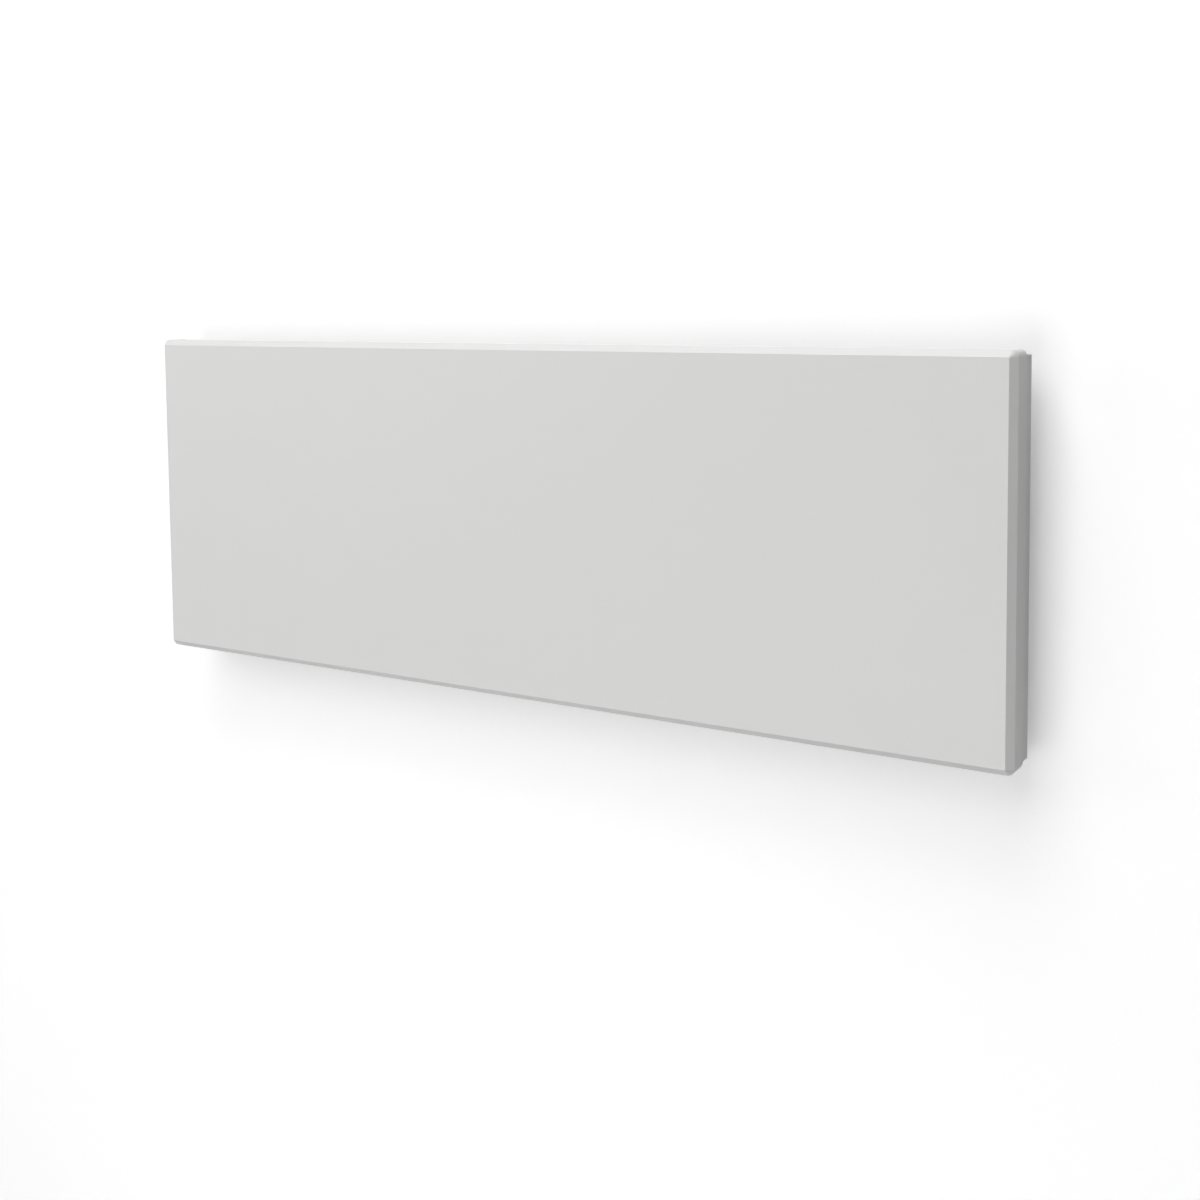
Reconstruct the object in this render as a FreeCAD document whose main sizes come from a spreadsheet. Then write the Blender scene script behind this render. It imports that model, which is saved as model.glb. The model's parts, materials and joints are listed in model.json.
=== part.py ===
import FreeCAD, Part
import math
import os
from types import SimpleNamespace

import Sketcher

# Wall-hung panel convector: a plain folded steel cover, a casing nested in it, a finned
# heating element inside, a sunk outlet grille with a control deck, and a wall bracket on
# which the heater tips forward. Millimetres; the wall is the plane y = 0, the front faces
# -Y, +Z is up, and the origin is the middle of the bracket's four wall screws.

SIZES = (
    ("panel_width", 1120, "front cover, left to right"),
    ("panel_height", 400, "front cover, top to bottom"),
    ("front_reach", 80, "wall to the front face"),
    ("cover_sheet", 1.0, "front cover sheet"),
    ("cover_bevel", 7.0, "sloped edge round the cover's front, each way"),
    ("cover_corner", 7.5, "radius of the cover's welded corners"),
    ("side_flange", 32, "depth of the cover's side and bottom flanges"),
    ("lip_flange", 14, "depth of the cover's top flange"),
    ("lip_return", 12, "height of the lip turned down behind the top flange"),
    ("gusset_width", 12, "full-depth end of the top flange"),
    ("nest_clearance", 0.3, "gap between the cover and the casing nested in it"),
    ("wall_gap", 28, "wall to the back of the casing"),
    ("casing_sheet", 0.8, "casing sheet"),
    ("casing_bend", 2.0, "outer radius of the casing's back bends"),
    ("casing_corner", 5.8, "bevel of the casing's lower corners"),
    ("casing_front_room", 6.8, "gap between the casing walls and the front sheet"),
    ("deck_drop", 6, "grille and control deck below the cover's top edge"),
    ("bead_length", 780, "pressed stiffening bead in the back plate"),
    ("bead_width", 24, "width of a bead"),
    ("bead_height", 3, "height of a bead"),
    ("upper_bead", 98, "upper bead below the deck"),
    ("lower_bead", 154.7, "lower bead above the casing's bottom"),
    ("inlet_slot_length", 128, "air inlet slot in the bottom"),
    ("inlet_slot_width", 4, "width of an inlet slot"),
    ("inlet_slot_pitch", 140, "spacing of the inlet slots"),
    ("inlet_row_pitch", 9, "spacing of two inlet rows"),
    ("inlet_front_row", 69, "wall to the foremost inlet row"),
    ("inlet_rear_row", 42, "wall to the front row behind the cover's rim"),
    ("inlet_margin", 60, "slot-free end of the bottom"),
    ("insert_clearance", 0.4, "gap round the grille and the control deck"),
    ("grille_sheet", 1.0, "outlet grille sheet"),
    ("grille_flange", 8, "turned-down edges of the grille"),
    ("outlet_slot_length", 62, "outlet slot"),
    ("outlet_slot_width", 6, "width of an outlet slot"),
    ("outlet_slot_pitch", 70, "spacing of the outlet slots"),
    ("outlet_row_pitch", 10, "spacing of the three outlet rows"),
    ("outlet_margin", 14, "slot-free ends of the grille"),
    ("control_length", 150, "control deck, left to right"),
    ("housing_height", 42, "control housing below the deck"),
    ("housing_wall", 1.8, "control housing wall"),
    ("housing_corner", 2.5, "rounded corners of the deck, bevelled corners of its housing"),
    ("deck_thickness", 2.0, "control deck plate"),
    ("window_length", 44, "display window"),
    ("window_width", 20, "display window, front to back"),
    ("window_thickness", 1.2, "display window"),
    ("window_corner", 2.0, "corner radius of the window"),
    ("window_ledge", 1.5, "ledge that carries the window"),
    ("window_clearance", 0.1, "gap round the window"),
    ("window_margin", 8, "left end of the deck to the window"),
    ("button_half", 4.5, "half the width of a push button"),
    ("button_reach", 6, "half of a push button, front to back"),
    ("button_pitch", 13, "spacing of the push buttons"),
    ("button_start", 21, "rocker's middle to the nearest button"),
    ("button_proud", 0.9, "button above the deck"),
    ("button_bevel", 0.6, "bevelled rim of a button"),
    ("button_flange", 1.0, "height and overhang of the button's stop flange"),
    ("button_clearance", 0.3, "gap round a button and its stop flange"),
    ("button_travel", 0.8, "stroke of a button"),
    ("tact_width", 6, "tact switch"),
    ("tact_clearance", 0.4, "tact switch below a pressed button"),
    ("board_sheet", 1.6, "circuit board"),
    ("board_drop", 14, "deck underside to the top of the board"),
    ("board_clearance", 0.8, "gap round the board"),
    ("boss_half", 3, "half the width of a board boss in the housing"),
    ("boss_inset", 7, "board boss from the board's ends"),
    ("rocker_length", 18, "rocker"),
    ("rocker_width", 11, "rocker, front to back"),
    ("rocker_rise", 2.2, "rocker tips above its axis"),
    ("rocker_dip", 1.0, "rocker middle above its axis"),
    ("rocker_root", 3.5, "rocker below its axis"),
    ("rocker_tilt", 8, "degrees that the rocker leans to either side"),
    ("rocker_clearance", 0.4, "gap beside the rocker"),
    ("rocker_end_room", 0.9, "gap beyond the level rocker's tips"),
    ("rocker_axis_rise", 0.6, "rocker axis above the deck"),
    ("trunnion_radius", 1.2, "rocker trunnion"),
    ("trunnion_length", 0.8, "trunnion in the bezel wall"),
    ("running_fit", 0.05, "radial play of a pin in its hole"),
    ("bezel_wall", 1.4, "rocker bezel wall"),
    ("bezel_brim", 2.0, "brim of the bezel beyond its wall"),
    ("bezel_rise", 1.5, "bezel above the deck"),
    ("bezel_depth", 20, "switch body below the deck"),
    ("well_depth", 9, "rocker well below the deck"),
    ("bezel_margin", 26, "right end of the deck to the rocker's middle"),
    ("element_length", 760, "finned part of the heating element"),
    ("element_shift", -60, "middle of the element from the heater's middle"),
    ("element_height", 108.7, "element axis above the casing's bottom"),
    ("wing_depth", 14, "element wing, axis to tip, front to back"),
    ("wing_height", 30, "element wing, axis to tip, up and down"),
    ("wing_sheet", 2.4, "element wing"),
    ("wing_bead", 2.0, "radius of the bead at a wing's tip"),
    ("core_radius", 7, "element core"),
    ("slit_width", 8, "air slit in the wings"),
    ("slit_pitch", 84, "spacing of the slits"),
    ("slit_root", 4, "slit end from the core"),
    ("slit_tip", 4, "slit end from the wing's tip"),
    ("bush_gap", 2, "wing end to the bush"),
    ("bush_flange", 3, "bush flange"),
    ("bush_flange_radius", 12, "bush flange"),
    ("bush_radius", 10, "bush body"),
    ("bush_length", 14, "bush body"),
    ("bush_clearance", 0.1, "play of the bush on the core and in its support"),
    ("pin_radius", 2, "element terminal pin"),
    ("pin_length", 15, "element terminal pin"),
    ("support_sheet", 1.2, "element support"),
    ("support_foot", 14, "foot of an element support"),
    ("support_half", 40, "half the height of an element support"),
    ("shield_room", 4, "front shield to the front sheet"),
    ("shield_sheet", 0.6, "heat shields"),
    ("shield_edge", 6, "turned-back edges of the front shield"),
    ("shield_foot", 12, "feet of the rear shield"),
    ("shield_stand_off", 6, "rear shield off the back plate"),
    ("shield_below", 32, "rear shield below the element axis"),
    ("shield_above", 120, "rear shield above the element axis"),
    ("front_shield_below", 52, "front shield below the element axis"),
    ("front_shield_above", 66, "front shield above the element axis"),
    ("shield_end", 6, "rear shield's end from the support"),
    ("cutout_radius", 8, "over-temperature cut-out"),
    ("cutout_height", 9, "over-temperature cut-out"),
    ("cutout_rise", 100, "cut-out above the element axis"),
    ("cutout_place", 160, "cut-out from the heater's middle"),
    ("sensor_radius", 2.5, "room-air sensor"),
    ("sensor_length", 24, "room-air sensor"),
    ("sensor_place", 32, "right end of the deck to the sensor"),
    ("sensor_level", 22.7, "foot of the sensor above the casing's bottom"),
    ("sensor_stand_off", 8, "sensor axis off the back plate"),
    ("holder_height", 8, "sensor holder"),
    ("holder_width", 12, "sensor holder"),
    ("block_length", 42, "terminal block"),
    ("block_height", 20, "terminal block, up and down"),
    ("block_depth", 18, "terminal block off the back plate"),
    ("block_place", 84, "right end of the deck to the block's middle"),
    ("block_level", 128.7, "foot of the terminal block above the casing's bottom"),
    ("block_well", 3, "half the width of a terminal well"),
    ("block_pitch", 13, "spacing of the terminals"),
    ("earth_place", 44, "right end of the deck to the earth stud"),
    ("earth_level", 182.7, "earth stud above the casing's bottom"),
    ("grommet_radius", 8, "cord grommet in the back plate"),
    ("grommet_brim", 2.5, "brim of the grommet"),
    ("grommet_place", 40, "right end of the deck to the grommet"),
    ("grommet_level", 78.7, "grommet above the casing's bottom"),
    ("lead_radius", 1.6, "internal lead"),
    ("lead_bend", 10, "bend radius of an internal lead"),
    ("lead_stand_off", 5, "lead axis off the back plate"),
    ("lead_level", 20.7, "lead above the casing's bottom"),
    ("lead_turn", 14, "lead beyond a terminal pin before it turns"),
    ("live_place", 132, "right end of the deck to the live lead"),
    ("neutral_place", 122, "right end of the deck to the neutral lead"),
    ("lead_clip_length", 8, "lead clip"),
    ("lead_clip_width", 9, "lead clip"),
    ("lead_clip_pitch", 320, "spacing of the lead clips"),
    ("bracket_spacing", 600, "wall screws, left to right"),
    ("screw_spacing", 240, "wall screws, up and down"),
    ("screw_hole", 3.0, "radius of a wall screw hole"),
    ("rail_width", 30, "bracket rail"),
    ("rail_sheet", 1.5, "bracket sheet"),
    ("rail_depth", 10, "bracket rail off the wall"),
    ("rail_top", 22, "top of the rails above the catch tongue"),
    ("rail_bottom", 13, "foot of the rails below the pivot axis"),
    ("arm_low", 24, "stop arm's foot below the catch tongue"),
    ("arm_high", 8, "stop arm's top below the catch tongue"),
    ("arm_reach", 25, "stop arm off the wall"),
    ("buffer_clearance", 0.3, "buffer to the back plate"),
    ("buffer_bevel", 0.8, "bevelled edge of a buffer"),
    ("pivot_reach", 14, "pivot axis off the wall"),
    ("pivot_level", 48.7, "pivot axis above the casing's bottom"),
    ("pivot_radius", 3.0, "pivot pin"),
    ("hook_reach", 21.5, "hook off the wall"),
    ("hook_rise", 10, "mouth of the hook above the pivot axis"),
    ("hook_bevel", 6, "bevelled nose of the hook"),
    ("ear_sheet", 1.5, "pivot ear sheet"),
    ("ear_clearance", 0.6, "ear beside the rail"),
    ("ear_half", 8, "half the height of an ear, and its end from the pivot axis"),
    ("ear_bevel", 4.5, "bevelled end of an ear"),
    ("ear_base", 24, "half the height of an ear's base"),
    ("ear_rivet", 16, "ear rivet from the pivot axis"),
    ("pivot_overhang", 1.5, "pivot pin beyond the ears"),
    ("bar_level", 64, "cross bars above and below the origin"),
    ("bar_height", 36, "cross bar"),
    ("bar_flange", 8, "cross bar off the wall"),
    ("bar_rivet", 5, "bar rivet off the wall"),
    ("catch_level", 44, "catch tongue below the deck"),
    ("catch_width", 16, "spring catch"),
    ("catch_sheet", 0.8, "spring catch strip"),
    ("catch_foot", 18, "catch foot on the rail"),
    ("catch_barb", 5, "catch barb above the tongue"),
    ("catch_ramp", 9, "sloping nose of the catch"),
    ("catch_room", 0.4, "catch barb behind the back plate"),
    ("catch_slot_above", 2.3, "catch slot above the tongue's underside"),
    ("catch_slot_below", 5, "catch slot below the tongue's underside"),
    ("catch_slot_side", 2, "catch slot beside the tongue"),
    ("catch_rivet", 11, "catch rivet above the tongue"),
    ("clip_sheet", 1.2, "cover clip"),
    ("clip_clearance", 0.1, "cover clip to the sheets it holds"),
    ("clip_floor_room", 0.3, "cover clip below the grille's flange"),
    ("clip_height", 7, "cover clip"),
    ("clip_length", 20, "cover clip"),
    ("clip_pitch", 280, "spacing of the cover clips"),
    ("screw_radius", 1.9, "screw and rivet shank"),
    ("screw_play", 0.1, "shank in its hole"),
    ("head_radius", 3.4, "screw and rivet head"),
    ("head_height", 1.6, "screw and rivet head"),
    ("tail_height", 1.2, "closed end of a rivet"),
    ("screw_tip", 4, "screw beyond what it holds"),
    ("screw_margin", 20, "screw-free ends of a row of screws"),
    ("cover_screw_place", 52, "wall to the cover screws"),
    ("cover_screw_pitch", 330, "spacing of the cover screws"),
    ("grille_screw_drop", 4.6, "grille screw below the grille"),
    ("grille_screw_pitch", 290, "spacing of the grille screws"),
    ("support_screw", 28, "support screw from the element axis"),
    ("shield_rivet_pitch", 520, "spacing of the shield rivets"),
    ("housing_screw_drop", 26, "housing screw below the deck"),
    ("housing_screw_inset", 30, "housing screw from the deck's ends"),
)

NEAR = 0.01
OVERSHOOT = 2
HEXAGON = 6
LEAD_SIDES = 6
PIN_SIDES = 8
ROUND_SIDES = 12

doc = FreeCAD.newDocument("panel_convector")
nodes = {}


class Size:
    """A length, angle or count: its number now and the sheet formula that drives it."""

    def __init__(self, number, formula):
        self.number = number
        self.formula = formula

    def __float__(self):
        return float(self.number)

    def __neg__(self):
        return Size(-self.number, f"(0 - {self.formula})")

    def __add__(self, other):
        other = as_size(other)
        return Size(self.number + other.number, f"({self.formula} + {other.formula})")

    def __sub__(self, other):
        other = as_size(other)
        return Size(self.number - other.number, f"({self.formula} - {other.formula})")

    def __mul__(self, other):
        other = as_size(other)
        return Size(self.number * other.number, f"({self.formula} * {other.formula})")

    def __truediv__(self, other):
        other = as_size(other)
        return Size(self.number / other.number, f"({self.formula} / {other.formula})")

    def __radd__(self, other):
        return as_size(other) + self

    def __rsub__(self, other):
        return as_size(other) - self

    def __rmul__(self, other):
        return as_size(other) * self

    def floor(self):
        return Size(math.floor(self.number), f"floor({self.formula})")


def as_size(value):
    return value if isinstance(value, Size) else Size(value, f"({value})")


def make_sheet():
    sheet = doc.addObject("Spreadsheet::Sheet", "Sizes")
    for row, (alias, number, note) in enumerate(SIZES, 1):
        sheet.set(f"A{row}", note)
        sheet.set(f"B{row}", str(number))
        sheet.setAlias(f"B{row}", alias)
    doc.recompute()
    return SimpleNamespace(**{
        alias: Size(float(getattr(sheet, alias)), f"Sizes.{alias}") for alias, number, note in SIZES
    })


s = make_sheet()


def bind(item, name, size):
    item.setExpression(name, as_size(size).formula)


def bind_place(item, place):
    for axis, size in zip("xyz", place):
        bind(item, f"Placement.Base.{axis}", size)


def keep(label, item):
    item.Label = label
    nodes[label] = item
    return item


def lies(item, **where):
    """Whether an edge or face lies wholly at the given x, y or z."""
    box = item.BoundBox
    ends = {"x": (box.XMin, box.XMax), "y": (box.YMin, box.YMax), "z": (box.ZMin, box.ZMax)}
    return all(
        abs(end - float(size)) < NEAR for axis, size in where.items() for end in ends[axis]
    )


# Outlines: each returns a function that draws itself on a sketch, pinned to the sheet.

def pin_point(sketch, geometry, vertex, across, up):
    for kind, size in (("DistanceX", across), ("DistanceY", up)):
        size = as_size(size)
        number = sketch.addConstraint(
            Sketcher.Constraint(kind, -1, 1, geometry, vertex, float(size)))
        bind(sketch, f"Constraints[{number}]", size)


def pin_radius(sketch, geometry, radius):
    number = sketch.addConstraint(Sketcher.Constraint("Radius", geometry, float(radius)))
    bind(sketch, f"Constraints[{number}]", radius)


def flat(across, up):
    return FreeCAD.Vector(float(across), float(up), 0)


def polygon(*points):
    def draw(sketch):
        first = sketch.GeometryCount
        count = len(points)
        for number, start in enumerate(points):
            end = points[(number + 1) % count]
            sketch.addGeometry(Part.LineSegment(flat(*start), flat(*end)), False)
        for number in range(count):
            sketch.addConstraint(Sketcher.Constraint(
                "Coincident", first + number, 2, first + (number + 1) % count, 1))
        for number, (across, up) in enumerate(points):
            pin_point(sketch, first + number, 1, across, up)
    return draw


def rectangle(left, right, low, high):
    return polygon((left, low), (right, low), (right, high), (left, high))


def around(across, up, half_across, half_up):
    """A rectangle round its middle."""
    return rectangle(across - half_across, across + half_across, up - half_up, up + half_up)


def clipped(left, right, low, high, corner):
    """A rectangle with its corners cut off."""
    return polygon((left + corner, low), (right - corner, low), (right, low + corner), (right, high - corner),
                   (right - corner, high), (left + corner, high), (left, high - corner), (left, low + corner))


def ring(across, up, radius, sides=ROUND_SIDES):
    """A circle drawn with a few straight sides, its corners on the radius."""
    turns = [2 * math.pi * number / sides for number in range(sides)]
    return polygon(*((across + radius * round(math.cos(turn), 6), up + radius * round(math.sin(turn), 6))
                     for turn in turns))


def hexagon(across, up, radius):
    """A six-sided hole that clears a shank of the given radius whichever way it is turned."""
    return ring(across, up, radius / math.cos(math.pi / HEXAGON), HEXAGON)


def circle(across, up, radius):
    def draw(sketch):
        ring = Part.Circle(flat(across, up), FreeCAD.Vector(0, 0, 1), float(radius))
        number = sketch.addGeometry(ring, False)
        pin_point(sketch, number, 3, across, up)
        pin_radius(sketch, number, radius)
    return draw


def slot(start, end, radius):
    """A round-ended slot between two arc centres."""
    def draw(sketch):
        first = sketch.GeometryCount
        from_point, to_point = flat(*start), flat(*end)
        run = to_point - from_point
        lean = math.atan2(run.y, run.x)
        side = FreeCAD.Vector(-math.sin(lean), math.cos(lean), 0) * float(radius)
        up = FreeCAD.Vector(0, 0, 1)
        quarter = math.pi / 2
        near = Part.Circle(from_point, up, float(radius))
        far = Part.Circle(to_point, up, float(radius))
        sketch.addGeometry(Part.ArcOfCircle(near, lean + quarter, lean + 3 * quarter), False)
        sketch.addGeometry(Part.ArcOfCircle(far, lean - quarter, lean + quarter), False)
        sketch.addGeometry(Part.LineSegment(from_point - side, to_point - side), False)
        sketch.addGeometry(Part.LineSegment(to_point + side, from_point + side), False)
        for one, one_end, other, other_end in ((0, 2, 2, 1), (2, 2, 1, 1), (1, 2, 3, 1), (3, 2, 0, 1)):
            sketch.addConstraint(Sketcher.Constraint(
                "Tangent", first + one, one_end, first + other, other_end))
        sketch.addConstraint(Sketcher.Constraint("Equal", first, first + 1))
        pin_point(sketch, first, 3, *start)
        pin_point(sketch, first + 1, 3, *end)
        pin_radius(sketch, first, radius)
    return draw


class Piece:
    """One body, built up along three directions: front (from the wall out), up and right."""

    PLANES = {"front": "XZ_Plane", "up": "XY_Plane", "right": "YZ_Plane"}

    def __init__(self, label):
        self.body = doc.addObject("PartDesign::Body", label)
        self.label = label
        self.feature = None

    def origin(self, role):
        return next(item for item in self.body.Origin.OriginFeatures if item.Role == role)

    def sketch(self, way, start, outlines):
        sketch = self.body.newObject("Sketcher::SketchObject", f"{self.label}_outline")
        sketch.AttachmentSupport = (self.origin(self.PLANES[way]), [""])
        sketch.MapMode = "FlatFace"
        bind(sketch, "AttachmentOffset.Base.z", start)
        for draw in outlines:
            draw(sketch)
        return sketch

    def add(self, kind, name):
        self.feature = self.body.newObject(f"PartDesign::{kind}", f"{self.label}_{name}")
        return self.feature

    def pad(self, way, start, length, *outlines):
        profile = self.sketch(way, start, outlines)
        self.add("Pad", "pad").Profile = profile
        bind(self.feature, "Length", length)
        doc.recompute()

    def cut(self, way, start, length, *outlines):
        """Remove material from the start plane along the same direction as a pad."""
        before = self.feature.Shape.Volume
        profile = self.sketch(way, start, outlines)
        self.add("Pocket", "cut").Profile = profile
        self.feature.Reversed = True
        bind(self.feature, "Length", length)
        doc.recompute()
        if self.feature.Shape.Volume > before - NEAR:
            raise RuntimeError(f"{self.label}: a cut removed nothing")

    def repeat(self, axis, pitch, count):
        source = self.feature
        self.add("LinearPattern", "row").Originals = [source]
        self.feature.Direction = (self.origin(f"{axis}_Axis"), [""])
        bind(self.feature, "Length", pitch * (count - 1))
        bind(self.feature, "Occurrences", count)
        self.body.Tip = self.feature
        doc.recompute()

    def round(self, radius, chosen):
        source = self.feature
        edges = [f"Edge{n}" for n, edge in enumerate(source.Shape.Edges, 1) if chosen(edge)]
        self.add("Fillet", "rounding").Base = (source, edges)
        bind(self.feature, "Radius", radius)
        doc.recompute()

    def bevel(self, size, chosen):
        source = self.feature
        edges = [f"Edge{n}" for n, edge in enumerate(source.Shape.Edges, 1) if chosen(edge)]
        self.add("Chamfer", "bevel").Base = (source, edges)
        bind(self.feature, "Size", size)
        doc.recompute()

    def shell(self, sheet, is_open):
        source = self.feature
        faces = [f"Face{n}" for n, face in enumerate(source.Shape.Faces, 1) if is_open(face)]
        self.add("Thickness", "shell").Base = (source, faces)
        self.feature.Reversed = True
        bind(self.feature, "Value", sheet)
        doc.recompute()

    def done(self):
        return keep(self.label, self.body)


TURNS = {
    "front": (FreeCAD.Vector(0, -1, 0), (0, -1, 0)),
    "up": (FreeCAD.Vector(0, 0, 1), (0, 0, 1)),
    "right": (FreeCAD.Vector(1, 0, 0), (1, 0, 0)),
}


def turned(label, way, place, *steps, sides=None):
    """Steps of (radius, length) one after the other from a place: round, or prisms where sides are given."""
    direction, signs = TURNS[way]
    turn = FreeCAD.Rotation(FreeCAD.Vector(0, 0, 1), direction)
    offset = as_size(0)
    members = []
    for radius, length in steps:
        step = doc.addObject("Part::Prism" if sides else "Part::Cylinder", f"{label}_step")
        step.Placement = FreeCAD.Placement(FreeCAD.Vector(), turn)
        if sides:
            step.Polygon = sides
        bind(step, "Circumradius" if sides else "Radius", radius)
        bind(step, "Height", length)
        bind_place(step, [base + sign * offset for base, sign in zip(place, signs)])
        members.append(step)
        offset = offset + length
    if len(members) == 1:
        return members[0]
    whole = doc.addObject("Part::MultiFuse", label)
    whole.Shapes = members
    return whole


def group(label, members):
    """Alike pieces that share one node."""
    whole = doc.addObject("Part::Compound", label)
    whole.Links = members
    return keep(label, whole)


def spread(pitch, count):
    """Places centred on zero, one pitch apart."""
    return [pitch * (number - (count - 1) / 2) for number in range(count)]


def row_count(length, pitch):
    """How many screws fit in a row at their spacing."""
    return math.floor(float((length - 2 * s.screw_margin) / pitch)) + 1


# Levels and distances that several pieces share. A distance named reach, back or front is
# measured from the wall.

half_width = s.panel_width / 2
half_height = s.panel_height / 2
cover_inner = s.front_reach - s.cover_sheet
cover_rim = s.front_reach - s.side_flange
lip_front = s.front_reach - s.lip_flange
lip_back = lip_front - s.cover_sheet
lip_half = half_width - s.gusset_width
casing_half = half_width - s.cover_sheet - s.nest_clearance
casing_bottom = s.cover_sheet + s.nest_clearance - half_height
casing_inner = s.wall_gap + s.casing_sheet
deck_level = half_height - s.deck_drop
upper_bead_level = deck_level - s.upper_bead
lower_bead_level = casing_bottom + s.lower_bead
insert_front = lip_back - s.insert_clearance
insert_middle = (insert_front + casing_inner) / 2
insert_half = casing_half - s.casing_bend - s.insert_clearance
control_left = insert_half - s.control_length
grille_right = control_left - s.insert_clearance
deck_bottom = deck_level - s.deck_thickness
housing_bottom = deck_bottom - s.housing_height
board_top = deck_bottom - s.board_drop
hole_radius = s.screw_radius + s.screw_play
element_level = casing_bottom + s.element_height
element_reach = (cover_inner + casing_inner) / 2
element_left = s.element_shift - s.element_length / 2
element_right = s.element_shift + s.element_length / 2
support_offset = s.bush_gap + s.bush_flange
stub_length = support_offset + s.bush_length
shield_front = cover_inner - s.shield_room
rail_places = {"left": -(s.bracket_spacing / 2), "right": s.bracket_spacing / 2}
catch_nose = casing_inner + s.catch_room
catch_height = deck_level - s.catch_level
arm_head = catch_height - s.arm_high
arm_foot = catch_height - s.arm_low
pivot_height = casing_bottom + s.pivot_level
rail_high = catch_height + s.rail_top
rail_low = pivot_height - s.rail_bottom
lead_height = casing_bottom + s.lead_level
sensor_foot = casing_bottom + s.sensor_level
block_foot = casing_bottom + s.block_level
earth_height = casing_bottom + s.earth_level
grommet_height = casing_bottom + s.grommet_level

# Places of the fastenings in the back plate and the bottom: (x, z) and x.

grille_length = grille_right + insert_half
grille_middle = (grille_right - insert_half) / 2
grille_screw_places = [(grille_middle + x, deck_level - s.grille_screw_drop)
                       for x in spread(s.grille_screw_pitch, row_count(grille_length, s.grille_screw_pitch))]
housing_screw_places = [(x, deck_bottom - s.housing_screw_drop)
                        for x in (control_left + s.housing_screw_inset, insert_half - s.housing_screw_inset)]
support_foot_places = (element_left - support_offset - s.support_foot / 2 - s.support_sheet / 2,
                       element_right + support_offset + s.support_foot / 2 + s.support_sheet / 2)
support_screw_places = [(x, element_level + z) for x in support_foot_places
                        for z in (-s.support_screw, s.support_screw)]
shield_low = element_level - s.shield_below
shield_high = element_level + s.shield_above
shield_rivet_places = [(s.element_shift + x, z) for x in spread(s.shield_rivet_pitch, 2)
                       for z in (shield_low + s.shield_foot / 2, shield_high - s.shield_foot / 2)]
ear_rivet_places = [(x, pivot_height + z) for x in rail_places.values()
                    for z in (-s.ear_rivet, s.ear_rivet)]
cover_screw_places = spread(s.cover_screw_pitch, row_count(2 * casing_half, s.cover_screw_pitch))
inlet_count = ((s.panel_width - 2 * s.inlet_margin - s.inlet_slot_length) / s.inlet_slot_pitch).floor() + 1


def inlet_row(reach):
    """The leftmost slot of an inlet row, on a sketch seen from above."""
    half = s.inlet_slot_width / 2
    left = -((inlet_count - 1) * s.inlet_slot_pitch / 2) - s.inlet_slot_length / 2
    return rectangle(left, left + s.inlet_slot_length, -reach - half, half - reach)


def make_front_cover():
    cover = Piece("front_cover")
    cover.pad("front", cover_rim, s.side_flange,
              rectangle(-half_width, half_width, -half_height, half_height))
    cover.round(s.cover_corner, lambda edge: any(
        lies(edge, x=x, z=z) for x in (-half_width, half_width) for z in (-half_height, half_height)))
    cover.bevel(s.cover_bevel, lambda edge: lies(edge, y=-s.front_reach))
    cover.shell(s.cover_sheet, lambda face: lies(face, y=-cover_rim))
    cover.cut("up", half_height - 2 * s.cover_sheet, 2 * s.cover_sheet + OVERSHOOT,
              rectangle(-lip_half, lip_half, -lip_front, OVERSHOOT - cover_rim))
    cover.pad("front", lip_back, s.cover_sheet,
              rectangle(-lip_half, lip_half, half_height - s.lip_return, half_height))
    cover.round(s.cover_sheet, lambda edge: lies(edge, y=-lip_back, z=half_height))
    cover.cut("up", -half_height - OVERSHOOT, 2 * s.cover_sheet + OVERSHOOT,
              *(hexagon(x, -s.cover_screw_place, hole_radius) for x in cover_screw_places))
    cover.cut("up", -half_height - OVERSHOOT, 2 * s.cover_sheet + OVERSHOOT,
              inlet_row(s.inlet_front_row), inlet_row(s.inlet_front_row - s.inlet_row_pitch))
    cover.repeat("X", s.inlet_slot_pitch, inlet_count)
    cover.done()


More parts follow.
